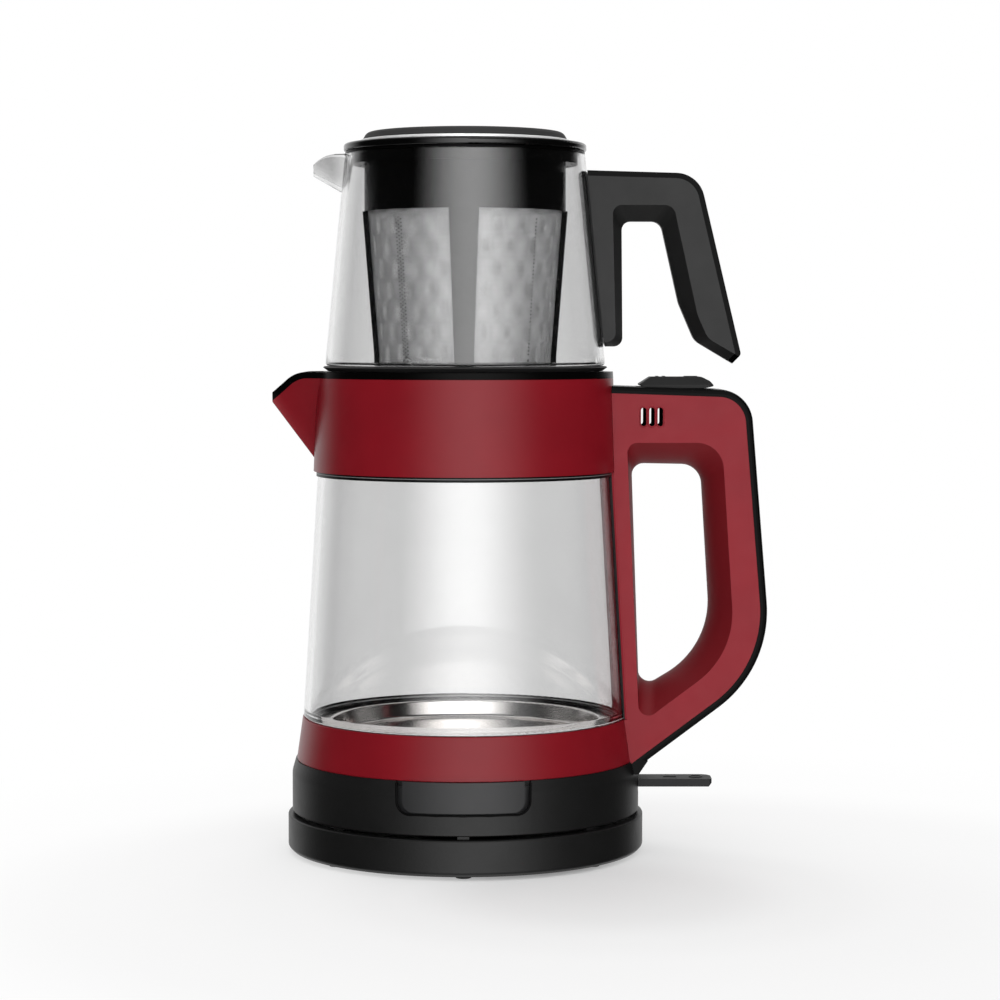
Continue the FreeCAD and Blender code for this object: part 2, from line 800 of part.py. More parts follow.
def housing_cover():
    """Bottom cover of the kettle, with the two ears that carry the lever's pin."""
    edge = housing_radius - housing_wall - loose_gap
    cover = post(edge, cover_bottom, cover_top)
    cover = cover.cut(post(socket_radius + fit_gap, cover_bottom - beyond, cover_top + beyond))
    ears = []
    for side in (-1, 1):
        outline = ((lever_pivot - lever_ear_half, cover_top - overlap),
                   (lever_pivot - lever_ear_top_half, lever_line + lever_ear_top_half, 3.0),
                   (lever_pivot + lever_ear_top_half, lever_line + lever_ear_top_half, 3.0),
                   (lever_pivot + lever_ear_half, cover_top - overlap))
        ear = slab(outline, lever_ear_thickness / 2)
        ear.translate(Vector(0, side * (lever_half_width + lever_ear_gap + lever_ear_thickness / 2), 0))
        ears.append(ear)
    cover = joined(cover, *ears)
    bore = post(screw_radius + loose_gap, cover_bottom - beyond, cover_top + beyond, column_pitch)
    bores = around(bore, screw_count, screw_start)
    return cover.cut(Part.makeCompound(bores + [lever_axle(lever_pin_radius + fit_gap, beyond)]))


def lever_axle(radius, extra):
    """Cylinder on the lever's pivot, longer than the distance across the ears by an extra at each end."""
    half_length = lever_half_width + lever_ear_gap + lever_ear_thickness + extra
    return crosswise(radius, half_length, lever_pivot, lever_line)


def housing_screws():
    return screws(cover_bottom, housing_screw_length, column_pitch)


def lever_pin():
    return lever_axle(lever_pin_radius, 0)


def power_lever():
    """Flat rocking lever with a round hub on the pin and a bevelled paddle outside."""
    low = lever_line - lever_thickness / 2
    high = lever_line + lever_thickness / 2
    half = lever_half_width
    tail = lever_pivot - lever_tail
    blade = tile(((tail, -half), (lever_reach, -half, lever_round_left), (lever_reach, half, lever_round_right),
                  (tail, half)), low, high)
    bevel = slab(((lever_reach - lever_bevel, low - beyond), (lever_reach + beyond, high - edge_break),
                  (lever_reach + beyond, low - beyond)), half + beyond)
    hub = crosswise(lever_pin_radius + lever_hub_wall, half, lever_pivot, lever_line)
    dash = mark(lever_reach - lever_dash_inset, high, dash_mark, dash_mark_width)
    ring = ring_outline(lever_reach - lever_ring_inset, high)
    return joined(blade.cut(bevel), hub, dash, ring).cut(lever_axle(lever_pin_radius + fit_gap, beyond))


def mark(distance, seat, length, width):
    """Small raised bar on a top face; its length runs along X."""
    return brick((distance - length / 2, distance + length / 2), (-width / 2, width / 2),
                 (seat - fit_gap, seat + mark_height))


def ring_outline(distance, seat):
    """Small raised ring on a top face."""
    disc = post(ring_mark, seat - fit_gap, seat + mark_height, distance)
    return disc.cut(post(ring_mark - ring_mark_width, seat - beyond, seat + beyond, distance))


def main_switch():
    """Switch block inside the housing, beside the lever's tail, on the bottom cover."""
    end = lever_pivot - lever_tail - switch_gap
    start = end - switch_length
    top = cover_top + switch_height
    body = brick((start, end), (-switch_half_width, switch_half_width), (cover_top, top))
    button = brick((end - edge_break - switch_button, end - edge_break), (-switch_button / 2, switch_button / 2),
                   (top, top + switch_button_height))
    thick, wide, tall = switch_tab
    tabs = [brick((start + thick, start + 2 * thick), (offset - wide / 2, offset + wide / 2), (top, top + tall))
            for offset in (-switch_tab_offset, switch_tab_offset)]
    return joined(body, button, *tabs)


def indicator_window():
    """Smoked window: a curved pane in the front opening with a flange behind the wall."""
    inner = housing_radius - housing_wall
    back = inner - fit_gap
    top = band_seat - fit_gap
    ceiling = band_seat - housing_wall - fit_gap
    pane = post(housing_radius - window_recess, housing_bottom, band_seat)
    pane = pane.cut(post(inner - window_step + fit_gap, 0, rim_top))
    pane = pane.common(front_block(window_outline(window_gap, window_sill_gap, top)))
    flange = post(back, housing_bottom, ceiling).cut(post(back - window_flange_thickness, 0, rim_top))
    flange = flange.common(front_block(window_outline(-window_flange, -window_flange, ceiling)))
    pegs = []
    for side in (-1, 1):
        start = Vector(side * peg_spacing, -back + window_flange_thickness / 2, window_middle)
        peg = Part.makeCylinder(peg_radius, back, start, Vector(0, 1, 0))
        pegs.append(peg.cut(brick((-cutter, cutter), (board_front, cutter), (0, rim_top))))
    return joined(pane, flange, *pegs)


def indicator_board():
    """Small circuit board on the window's pegs, with three indicator lamps."""
    board = brick((-board_half_width, board_half_width), (board_front, board_front + board_thickness),
                  (window_middle - board_half_height, window_middle + board_half_height))
    lamps = []
    for index in (-1, 0, 1):
        start = Vector(index * lamp_pitch, board_front, window_middle + lamp_rise)
        lamps.append(Part.makeCylinder(lamp_radius, lamp_height, start, Vector(0, -1, 0)))
    return joined(board, *lamps)


# ---- electrics and heater -----------------------------------------------------------------------
def kettle_socket():
    bottom = shoulder_top + splash_ring_thickness + 2 * rest_gap
    flange = socket_radius + socket_flange
    flange_rise = cover_top + socket_flange_height
    return turned(
        (socket_cavity, bottom), (socket_radius - socket_chamfer, bottom), (socket_radius, bottom + socket_chamfer),
        (socket_radius, cover_top), (flange, cover_top), (flange, flange_rise), (socket_radius, flange_rise),
        (socket_radius, socket_top, 1.0), (0, socket_top), (0, socket_ceiling), (socket_cavity, socket_ceiling))


def socket_contacts():
    """Middle pin and ring that hang from the socket's roof into the coupler."""
    middle = (slot_inner + contact_thickness + slot_outer) / 2
    tip = deck_top + contact_pin_rise
    pin = turned((0, tip), (contact_pin / 2, tip), (contact_pin, tip + contact_pin), (contact_pin, socket_ceiling),
                 (0, socket_ceiling))
    edge = deck_top + contact_ring_rise
    ring = turned((middle - contact_ring_half, edge), (middle + contact_ring_half, edge),
                  (middle + contact_ring_half, socket_ceiling), (middle - contact_ring_half, socket_ceiling))
    return Part.makeCompound([pin, ring])


def heating_plate():
    """Pressed steel dish: flange under the seal, raised rim, and the bowl that the heater is bonded to."""
    seat = lower_band_radius(seal_bottom) - band_skin - loose_gap
    wall = glass_bottom - glass_wall - dish_gap
    edge = dish_rim - dish_fall
    return turned(
        (0, dish_floor - dish_skin), (dish_bowl, dish_floor - dish_skin, 3.0),
        (dish_bowl + dish_lean, dish_rim - dish_skin, 1.0), (wall - dish_skin, edge - dish_skin, 1.0),
        (wall - dish_skin, dish_flange), (seat, dish_flange), (seat, seal_bottom), (wall, seal_bottom),
        (wall, edge, 1.6), (dish_bowl - dish_skin + dish_lean, dish_rim, 0.8), (dish_bowl - dish_skin, dish_floor, 2.0),
        (0, dish_floor))


def heating_element():
    """Aluminium heat spreader with the sheathed element curled beneath it."""
    top = dish_floor - dish_skin
    under = top - spreader_thickness
    spreader = turned((0, under), (spreader_radius, under), (spreader_radius + spreader_flare, top), (0, top))
    middle = under - element_thickness + element_sink
    sweep = 360 - 2 * element_angle
    coil = Part.makeTorus(element_radius, element_thickness, Vector(0, 0, middle), Vector(0, 0, 1), 0, 360, sweep)
    coil.rotate(Vector(), Vector(0, 0, 1), element_angle)
    ends = [post(element_lead, middle - element_lead_length, middle, element_radius, angle)
            for angle in (element_angle, -element_angle)]
    return joined(spreader, coil, *ends)


def thermal_control():
    """Cut-out that is clamped between the socket and the heat spreader."""
    top = dish_floor - dish_skin - spreader_thickness
    body = turned((0, socket_top), (control_radius, socket_top), (control_radius, top - beyond),
                  (control_radius - control_step, top), (0, top))
    tabs = []
    for turn in (0, 180):
        wing = brick((0, control_tab_reach), (-control_tab_half, control_tab_half),
                     (socket_top, socket_top + control_tab_thickness))
        tab = brick((control_tab_reach - control_tab_thickness, control_tab_reach),
                    (-control_tab_half, control_tab_half), (socket_top, socket_top + control_tab_height))
        tabs += [*around(wing, 1, turn), *around(tab, 1, turn)]
    return joined(body, *tabs)


def lower_seal():
    """Channel-shaped silicone seal round the neck of the glass."""
    outer = lower_band_top - band_skin - fit_gap
    inner = glass_bottom - glass_wall - seal_gap
    top = glass_line + seal_rise
    floor = seal_bottom + seal_floor
    lip = floor + seal_lip_height
    return turned((inner, seal_bottom), (outer, seal_bottom), (outer, top, 0.3), (neck_radius + fit_gap, top),
                  (neck_radius + fit_gap, floor), (inner + seal_lip, floor), (inner + seal_lip, lip), (inner, lip))


def lower_band():
    band = turned((lower_band_bottom - band_skin, band_seat), (lower_band_bottom, band_seat, 0.3),
                  (lower_band_top, glass_line, 0.5), (lower_band_top - band_skin, glass_line))
    return band.cut(handle_screw_bores())


def kettle_glass():
    """Tapered tube of the kettle, with a drawn-in neck at its foot."""
    neck_bottom = seal_bottom + seal_floor + fit_gap
    neck_bore = glass_bottom - glass_wall - seal_gap + seal_lip + fit_gap
    shelf = glass_line + seal_rise + fit_gap
    return turned(
        (neck_bore, neck_bottom), (neck_radius, neck_bottom), (neck_radius, shelf), (glass_radius(shelf), shelf, 0.8),
        (glass_radius(glass_end), glass_end, 0.8), (glass_radius(glass_end) - glass_wall, glass_end, 0.8),
        (glass_bottom - glass_wall, shelf + glass_wall, 2.0))


def upper_gasket():
    """Channel-shaped silicone seal over the upper edge of the glass."""
    top = glass_end + collar_seat
    skin = band_skin + fit_gap
    inner = glass_radius(gasket_line) - glass_wall - gasket_lip
    outer_face = glass_radius(glass_end) + fit_gap
    inner_face = glass_radius(glass_end) - glass_wall - fit_gap
    return turned(
        (glass_radius(gasket_line) + fit_gap, gasket_line), (upper_band_bottom - skin, gasket_line),
        (upper_band_bottom - skin, upper_seat), (upper_band_radius(top) - skin, top), (inner, top),
        (inner, upper_seat), (inner_face, upper_seat), (inner_face, glass_end + fit_gap),
        (outer_face, glass_end + fit_gap))


# ---- upper band, rim and spout ------------------------------------------------------------------
def spout_section(reach, half_width, keel, top, inset):
    """Flared V section across the spout at one distance from the axis."""
    half = max(half_width - inset, edge_break)
    low = keel + keel_rise * inset
    bottom = min(keel_half, half / 2)
    side = flare_width * half + bottom / 2
    height = low + flare_height * (top - low)
    right = Part.Arc(Vector(-reach, bottom, low), Vector(-reach, side, height), Vector(-reach, half, top))
    left = Part.Arc(Vector(-reach, -half, top), Vector(-reach, -side, height), Vector(-reach, -bottom, low))
    under = Part.Arc(Vector(-reach, -bottom, low), Vector(-reach, 0, low - bottom / 2),
                     Vector(-reach, bottom, low))
    lid = Part.makeLine(Vector(-reach, half, top), Vector(-reach, -half, top))
    return Part.Wire([right.toShape(), lid, left.toShape(), under.toShape()])


def spout_block(inset):
    """Solid beak of the kettle, drawn in by a wall thickness."""
    top = rim_top + beyond
    root = spout_section(spout_root, spout_half_width, rim_line - spout_keel_root, top, inset)
    tip = spout_section(spout_reach - 0.2 * inset, spout_tip_half, rim_line - spout_keel_tip, top, inset)
    return Part.makeLoft([root, tip], True, True)


def band_core(inset):
    """Solid body of the upper band, drawn in by a wall thickness and run past both ends."""
    low = upper_seat - beyond
    high = rim_top + beyond
    return turned((0, low), (upper_band_radius(low) - inset, low), (upper_band_radius(high) - inset, high), (0, high))


def head_solid(inset):
    """Upper band and spout as one solid."""
    return joined(band_core(inset), spout_block(inset))


def above_line(top, flat, bend, fall, reach, drop):
    """Everything above the pouring edge: level, then an arc down to a straight fall, set down by a drop."""
    height = top - drop
    radius = bend - drop
    turn = math.radians(fall)
    start = Vector(-flat, 0, height)
    half = Vector(-flat - radius * math.sin(turn / 2), 0, height - radius + radius * math.cos(turn / 2))
    end = Vector(-flat - radius * math.sin(turn), 0, height - radius + radius * math.cos(turn))
    far = reach + bend
    run = (far - flat - radius * math.sin(turn)) / math.cos(turn)
    foot = Vector(end.x - run * math.cos(turn), 0, end.z - run * math.sin(turn))
    roof = top + bend
    outline = Part.Wire([
        Part.makeLine(Vector(far, 0, height), start), Part.Arc(start, half, end).toShape(),
        Part.makeLine(end, foot), Part.makeLine(foot, Vector(foot.x, 0, roof)),
        Part.makeLine(Vector(foot.x, 0, roof), Vector(far, 0, roof)),
        Part.makeLine(Vector(far, 0, roof), Vector(far, 0, height))])
    face = Part.Face(outline)
    face.translate(Vector(0, -far, 0))
    return face.extrude(Vector(0, 2 * far, 0))


def above_rim(drop):
    return above_line(rim_top, spout_flat, spout_bend, spout_fall, spout_reach, drop)


def upper_band():
    skin = head_solid(0).cut(head_solid(band_skin)).cut(above_rim(rim_height))
    return skin.cut(post(base_radius, 0, upper_seat)).cut(handle_screw_bores())


def upper_collar():
    """Black inner ring: it holds the glass, backs the band and spout, and forms the rim."""
    wall = band_skin + collar_wall
    bore = head_solid(wall)
    below = post(base_radius, 0, glass_end + collar_seat)
    lining = head_solid(band_skin).cut(bore).cut(above_rim(rim_height)).cut(below)
    edge = head_solid(0).cut(bore).common(above_rim(rim_height)).cut(above_rim(0))
    ledge_outer = upper_band_radius(rim_top) - wall + overlap
    ledge = turned((opening_radius, rim_line - ledge_lip), (ledge_outer, rim_line - ledge_slope),
                   (ledge_outer, rim_top), (opening_radius, rim_top))
    throat = post(base_radius, 0, rim_top + 2 * beyond)
    throat = throat.cut(post(opening_radius + throat_step, -beyond, rim_top + 3 * beyond))
    front = brick((-cutter, 0), (-cutter, cutter), (0, rim_line - ledge_lip + edge_break))
    ledge = ledge.cut(spout_block(wall).cut(throat).common(front))
    return joined(lining, edge, ledge).cut(handle_screw_bores())


def spout_filter():
    """Slotted plate across the throat of the spout, inside the collar."""
    high = rim_line - filter_drop
    low = high - filter_height
    skin = band_skin + collar_wall + loose_gap

    def cone(inset):
        return turned((0, low), (upper_band_radius(low) - skin - inset, low),
                      (upper_band_radius(high) - skin - inset, high), (0, high))

    plate = cone(0).cut(cone(filter_thickness))
    plate = plate.common(brick((-cutter, 0), (-filter_half, filter_half), (0, rim_top)))
    margin = (filter_height - (filter_rows - 1) * filter_row - filter_pitch) / 2
    slots = []
    for row in range(filter_rows):
        for column in range(filter_columns):
            bottom = low + margin + filter_row * row
            centre = (column - (filter_columns - 1) / 2) * filter_pitch
            slots.append(brick((-cutter, 0), (centre - filter_slot / 2, centre + filter_slot / 2),
                               (bottom, bottom + filter_pitch)))
    return plate.cut(Part.makeCompound(slots))


# ---- kettle handle ------------------------------------------------------------------------------
def grip_half(height):
    return slope(band_seat, rim_line, grip_half_foot, grip_half_top, height)


def grip_wedge():
    """Block whose two faces are the sides of the handle; it widens towards the foot."""
    low = 0
    high = pot_bottom
    start = lower_band_top / 2
    outline = [Vector(start, -grip_half(low), low), Vector(start, grip_half(low), low),
               Vector(start, grip_half(high), high), Vector(start, -grip_half(high), high)]
    return Part.Face(Part.makePolygon(outline + outline[:1])).extrude(Vector(cutter, 0, 0))


def grip_outline():
    """Outer edge of the red handle; the closing points lie inside the kettle."""
    inside = opening_radius - throat_step
    top = rim_line - grip_top_drop
    foot_fall = grip_elbow_rise / (grip_elbow - grip_foot) * (grip_foot - inside)
    return ((inside, top), (grip_knuckle, top - grip_top_fall, grip_knuckle_round),
            (grip_elbow, band_seat + grip_elbow_rise, grip_elbow_round), (inside, band_seat - foot_fall))


def hole_outline(spread):
    """Finger hole at mid-depth (spread 0), at the side faces (1) or between."""
    def size(pair):
        return pair[0] + (pair[1] - pair[0]) * spread

    root = upper_band_bottom + size(hole_root)
    top = rim_line - size(hole_top_drop)
    corner = size(hole_corner)
    return ((root, top, corner),
            (grip_knuckle - size(hole_knuckle), top - size(hole_top_slope), size(hole_knuckle_round)),
            (grip_elbow - size(hole_elbow), band_seat + size(hole_elbow_rise), hole_elbow_round),
            (lower_band_bottom + size(hole_foot_root), band_seat + size(hole_foot_rise), corner))


def finger_hole():
    """Cutter for the finger hole, flaring towards both faces like the inside of a ring."""
    sections = []
    for step in (-1.25, -1.0, -0.7, -0.35, 0.0, 0.35, 0.7, 1.0, 1.25):
        def tilted(point, step=step):
            return Vector(point.x, step * grip_half(point.y), point.y)
        sections.append(rounded_wire(hole_outline(abs(step) ** 1.8), tilted))
    return Part.makeLoft(sections, True)


def kettle_envelope(gap):
    """The kettle's turned outside as one solid, with room for the liner beside the glass."""
    top = pot_bottom
    return turned(
        (0, 0), (housing_radius + gap, 0), (housing_radius + gap, band_seat - shoulder_drop),
        (housing_radius - shoulder_step + gap, band_seat), (lower_band_bottom + gap, band_seat),
        (lower_band_top + gap, glass_line), (glass_bottom + liner_thickness + gap, glass_line),
        (glass_top + liner_thickness + gap, gasket_line), (glass_top + liner_thickness + gap, upper_seat),
        (upper_band_bottom + gap, upper_seat), (upper_band_radius(rim_top) + gap, rim_top),
        (upper_band_radius(rim_top) + gap, top), (0, top))


def beside_channel(gap):
    """The solid parts of the handle: its root against the kettle and its foot."""
    root = brick((0, channel_start + gap), (-cutter, cutter), (0, pot_bottom))
    foot = brick((0, cutter), (-cutter, cutter), (0, band_seat + foot_block + gap))
    return root.fuse(foot)


def grip_channel():
    """Space inside the handle, open towards the spine."""
    room = slab(grown(grip_outline(), 2 * spine_thickness), channel_half)
    room = room.cut(slab(grown(hole_outline(1.0), channel_wall), channel_half + beyond))
    return room.cut(beside_channel(0))


def vent_slots():
    half = vent_width / 2
    top = vent_low + vent_length
    slots = []
    for index in range(vent_count):
        left = vent_start + index * vent_pitch - half
        right = left + vent_width
        slots.append(slab(((left, vent_low, vent_round), (left, top, vent_round), (right, top, vent_round),
                           (right, vent_low, vent_round)), 2 * grip_half_foot))
    return Part.makeCompound(slots)


def handle_screw_heights():
    upper = [rim_line - drop for drop in handle_screw_drops]
    return upper + [band_seat + handle_screw_rise]


def handle_screw_seat(height):
    """Distance from the axis of the inner face that a handle screw clamps."""
    if height > upper_seat:
        return upper_band_radius(height) - band_skin - collar_wall
    return housing_inner(height)


def handle_screw_end(height):
    """Distance from the axis of the tip of a handle screw."""
    outside = upper_band_radius(height) if height > upper_seat else lower_band_radius(height)
    return outside + screw_bite


def handle_screw_bores():
    """Bores for the handle's screws, through the kettle's rings and into the handle."""
    bores = []
    room = screw_head_height + edge_break
    for height in handle_screw_heights():
        start = Vector(handle_screw_seat(height) - room, 0, height)
        length = handle_screw_end(height) + edge_break - start.x
        bores.append(Part.makeCylinder(screw_radius + fit_gap, length, start, Vector(1, 0, 0)))
        bores.append(Part.makeCylinder(screw_head + loose_gap, room, start, Vector(1, 0, 0)))
    return Part.makeCompound(bores)


def handle_screws():
    """Screws from inside the kettle's rings into the handle."""
    all_screws = []
    for height in handle_screw_heights():
        seat = handle_screw_seat(height)
        length = handle_screw_end(height) - seat
        shank = Part.makeCylinder(screw_radius, length, Vector(seat, 0, height), Vector(1, 0, 0))
        under = Vector(seat - screw_head_height, 0, height)
        head = Part.makeCylinder(screw_head, screw_head_height, under, Vector(1, 0, 0))
        all_screws.append(joined(shank, head))
    return Part.makeCompound(all_screws)


def handle_grip():
    """Red handle moulding: two side walls joined round the finger hole, open at the back."""
    grip = slab(grip_outline(), 2 * grip_half_foot).common(grip_wedge())
    grip = grip.cut(finger_hole()).cut(kettle_envelope(fit_gap)).cut(grip_channel())
    return grip.cut(vent_slots()).cut(handle_screw_bores())


def spine_top(distance):
    """Height of the spine's top surface at a distance from the axis."""
    first, last = grown(grip_outline(), spine_thickness)[:2]
    return slope(first[0], last[0], first[1], last[1], distance)


def rocker_pivot():
    return spine_top(rocker_centre) - rocker_pivot_drop


def spine_back():
    """Back of the handle as a solid, with its two outer edges rounded in small steps."""
    sections = []
    for side in (-1, 1):
        for turn in (0, 30, 60, 90)[::-side]:
            inset = spine_round * (1 - math.cos(math.radians(turn)))
            growth = spine_thickness - spine_round * (1 - math.sin(math.radians(turn)))

            def tilted(point, side=side, inset=inset):
                return Vector(point.x, side * (grip_half(point.y) - inset), point.y)
            sections.append(rounded_wire(grown(grip_outline(), growth), tilted))
    return Part.makeLoft(sections, True, True)


def handle_spine():
    """Black cover that closes the back of the handle, from the rim down to the housing's shoulder."""
    outline = grown(grip_outline(), fit_gap)
    toe_foot = band_seat - shoulder_drop + toe_lift
    toe_start = lower_band_bottom - 2 * toe_back
    toe = slab(((toe_start, band_seat + toe_back), (lower_band_bottom + toe_reach, band_seat + toe_rise),
                (housing_radius - toe_inset, toe_foot), (toe_start, toe_foot)), 2 * grip_half_foot)
    toe = toe.common(grip_wedge())
    shell = spine_back().fuse(toe).cut(slab(outline, 2 * grip_half_foot))
    tongue = slab(grown(outline, overlap), channel_half - fit_gap)
    tongue = tongue.cut(slab(grown(grip_outline(), -tongue_depth), channel_half)).cut(beside_channel(fit_gap))
    pivot = rocker_pivot()
    well_half = rocker_hub_half + rocker_ear_gap
    ears = []
    for side in (-1, 1):
        ear = slab(((rocker_centre - rocker_hub, pivot - rocker_hub, 1.5),
                    (rocker_centre - rocker_hub, pivot + rocker_hub + beyond),
                    (rocker_centre + rocker_hub, pivot + rocker_hub + beyond),
                    (rocker_centre + rocker_hub, pivot - rocker_hub, 1.5)), rocker_ear_thickness / 2)
        ear.translate(Vector(0, side * (well_half + rocker_ear_thickness / 2), 0))
        ears.append(ear)
    spine = joined(shell, tongue, *ears).cut(kettle_envelope(fit_gap))
    seat = spine_top(rocker_centre) - pocket_depth
    room = rocker_length / 2 + rocker_overhang + rocker_room
    side_room = rocker_half_width + 2 * loose_gap
    pocket = brick((rocker_centre - room, rocker_centre + room), (-side_room, side_room), (seat, rim_top))
    well = brick((rocker_centre - rocker_well_half, rocker_centre + rocker_well_half), (-well_half, well_half),
                 (pivot - rocker_hub - beyond, seat + beyond))
    return spine.cut(pocket).cut(well).cut(rocker_axle(rocker_pin_radius + fit_gap, beyond))


def rocker_axle(radius, extra):
    """Cylinder on the rocker's pivot, longer than the distance across its ears by an extra at each end."""
    half_length = rocker_hub_half + rocker_ear_gap + rocker_ear_thickness + extra
    return crosswise(radius, half_length, rocker_centre, rocker_pivot())


def rocker_pin():
    return rocker_axle(rocker_pin_radius, 0)


def rocker_cap():
    """Two-way rocker on top of the handle, with a raised mark at each end."""
    base = spine_top(rocker_centre) - rocker_seat
    top = base + rocker_rise
    left = rocker_centre - rocker_length / 2
    right = rocker_centre + rocker_length / 2
    tip_left = left - rocker_overhang
    tip_right = right + rocker_overhang
    half = rocker_half_width
    cap = slab(((tip_left, base + 1.4, 0.5), (left + 4.0, top, 0.8), (right - 4.2, top, 2.0),
                (right - 0.6, base + 3.2, 3.0), (tip_right, base + 0.9, 0.5), (right - 2.4, base),
                (left + 2.4, base)), half)
    rounding = tile(((tip_left - rocker_overhang, -half, 4.0), (tip_right + rocker_overhang, -half, 5.0),
                     (tip_right + rocker_overhang, half, 5.0), (tip_left - rocker_overhang, half, 4.0)),
                    base - beyond, top + beyond)
    lean = rocker_flank
    flank = [Vector(0, -half, base + 1.5), Vector(0, half, base + 1.5), Vector(0, half - lean, top + edge_break),
             Vector(0, lean - half, top + edge_break)]
    roof = Part.Face(Part.makePolygon(flank + flank[:1])).extrude(Vector(cutter, 0, 0))
    skirt = brick((0, cutter), (-half, half), (base - beyond, base + 1.5))
    cap = cap.common(rounding).common(joined(roof, skirt))
    web = brick((rocker_centre - rocker_web_half, rocker_centre + rocker_web_half),
                (-rocker_hub_half, rocker_hub_half), (rocker_pivot(), base + beyond))
    hub = crosswise(rocker_hub, rocker_hub_half, rocker_centre, rocker_pivot())
    bars = [mark(rocker_centre - rocker_mark_offset + side * rocker_bar_spacing / 2, top, dash_mark_width, dash_mark)
            for side in (-1, 1)]
    ring = ring_outline(rocker_centre + rocker_mark_offset, top)
    return joined(cap, web, hub, ring, *bars).cut(rocker_axle(rocker_pin_radius + fit_gap, beyond))


def rocker_switch():
    """Two-way switch under the rocker, standing on the floor of the handle's channel."""
    top = rocker_pivot() - rocker_hub - loose_gap - edge_break
    shoulder = top - plunger_rise
    body = brick((rocker_centre - switch_block_half, rocker_centre + switch_block_half),
                 (-switch_block_width / 2, switch_block_width / 2), (hole_top + channel_wall, shoulder))
    plunger = brick((rocker_centre - plunger_half, rocker_centre + plunger_half), (-plunger_half, plunger_half),
                    (shoulder, top))
    return joined(body, plunger)


def vent_insert():
    """Black block with the steam slots, inside the handle."""
    block = brick((channel_start + fit_gap, vent_end + vent_margin), (fit_gap - channel_half, channel_half - fit_gap),
                  (vent_low - vent_margin, vent_low + vent_length + vent_margin))
    return block.cut(vent_slots())


def handle_liner():
    """Black strip between the handle and the glass."""
    low = glass_line + seal_rise + fit_gap
    high = upper_seat - fit_gap

    def cone(extra):
        return turned((0, low), (glass_radius(low) + extra, low), (glass_radius(high) + extra, high), (0, high))

    strip = cone(liner_thickness).cut(cone(fit_gap)).common(grip_wedge())
    return strip.cut(post(upper_band_bottom - band_skin, gasket_line - fit_gap, upper_seat + beyond))


# ---- kettle lid ---------------------------------------------------------------------------------
def kettle_lid():
    """Plate that the teapot stands on: plug skirt, steam holes and a recessed finger bar."""
    skirt_bottom = lid_bottom - lid_skirt_depth
    under = lid_bottom - lid_under_step
    cup_bottom = lid_top - lid_cup_depth
    cup_under = cup_bottom - lid_cup_floor
    plate = turned(
        (0, cup_under), (lid_cup_radius - beyond, cup_under), (lid_cup_radius + beyond, under),
        (lid_skirt - lid_wall, under), (lid_skirt - lid_wall, skirt_bottom), (lid_skirt, skirt_bottom),
        (lid_skirt, lid_bottom), (lid_radius - lid_undercut, lid_bottom), (lid_radius, lid_top - edge_break),
        (lid_radius - edge_break, lid_top), (lid_cup_radius, lid_top), (lid_cup_radius - lid_cup_slope, cup_bottom),
        (0, cup_bottom))
    bar_reach = lid_cup_radius + overlap
    bar = brick((-bar_reach, bar_reach), (-lid_bar_half, lid_bar_half), (lid_top - lid_bar_height, lid_top))
    bar = bar.common(post(bar_reach, 0, lid_top))
    hole = post(steam_hole, skirt_bottom, lid_top + beyond, steam_hole_pitch)
    return joined(plate, bar).cut(Part.makeCompound(around(hole, steam_hole_count)))


def lid_seal():
    """Silicone ring round the plug of the lid, with two lips."""
    bottom = lid_bottom - (lid_skirt_depth + lid_seal_height) / 2
    step = lid_seal_height / 4
    inner = lid_skirt + fit_gap
    lip = opening_radius - rest_gap
    body = inner + lid_seal_body
    return turned((inner, bottom), (body, bottom), (lip, bottom + step), (body, bottom + 1.5 * step),
                  (body, bottom + 2.5 * step), (lip, bottom + 3 * step), (body, bottom + lid_seal_height),
                  (inner, bottom + lid_seal_height))


# ---- teapot -------------------------------------------------------------------------------------
def pot_core(inset, floor):
    """Inside or outside of the teapot as a solid, run past its top."""
    low = pot_bottom + floor
    high = pot_top + beyond
    return turned((0, low), (pot_radius(low) - inset, low, pot_heel - inset / 2),
                  (pot_radius(high) - inset, high), (0, high))


def pot_spout_block(inset):
    top = pot_top + beyond
    root = spout_section(pot_top_radius - pot_spout_root, pot_spout_half, pot_top - pot_spout_keel_root, top, inset)
    tip = spout_section(pot_spout_reach, pot_spout_tip_half, pot_top - pot_spout_keel_tip, top, inset / 2)
    return Part.makeLoft([root, tip], True, True)


def pot_glass():
    """Glass teapot with a drawn pouring lip."""
    outside = joined(pot_core(0, 0), pot_spout_block(0))
    inside = joined(pot_core(pot_wall, pot_floor), pot_spout_block(pot_wall * 0.8))
    flat = pot_top_radius + pot_spout_flat
    edge = above_line(pot_top, flat, pot_spout_bend, pot_spout_fall, pot_spout_reach, 0)
    punt_radius = pot_bottom_radius - punt_inset
    punt = turned((0, pot_bottom - beyond), (punt_radius, pot_bottom - beyond), (punt_radius, pot_bottom),
                  (punt_radius - punt_slope, pot_bottom + punt_height), (0, pot_bottom + punt_height))
    return outside.cut(inside).cut(edge).cut(punt)


def hook_outline():
    """Outer edge of the teapot's handle, with its trim."""
    inside = collar_radius
    toe = pot_top_radius + hook_toe_reach
    below = pot_bottom - hook_close_drop
    return ((inside, pot_top - hook_top_drop),
            (pot_top_radius + hook_knuckle_reach, pot_top - hook_knuckle_drop, hook_knuckle_round),
            (pot_top_radius + hook_tip_reach, pot_bottom + hook_tip_rise, hook_tip_round),
            (toe, pot_bottom + hook_toe_rise, hook_toe_round), (toe - hook_close_inset, below), (inside, below))


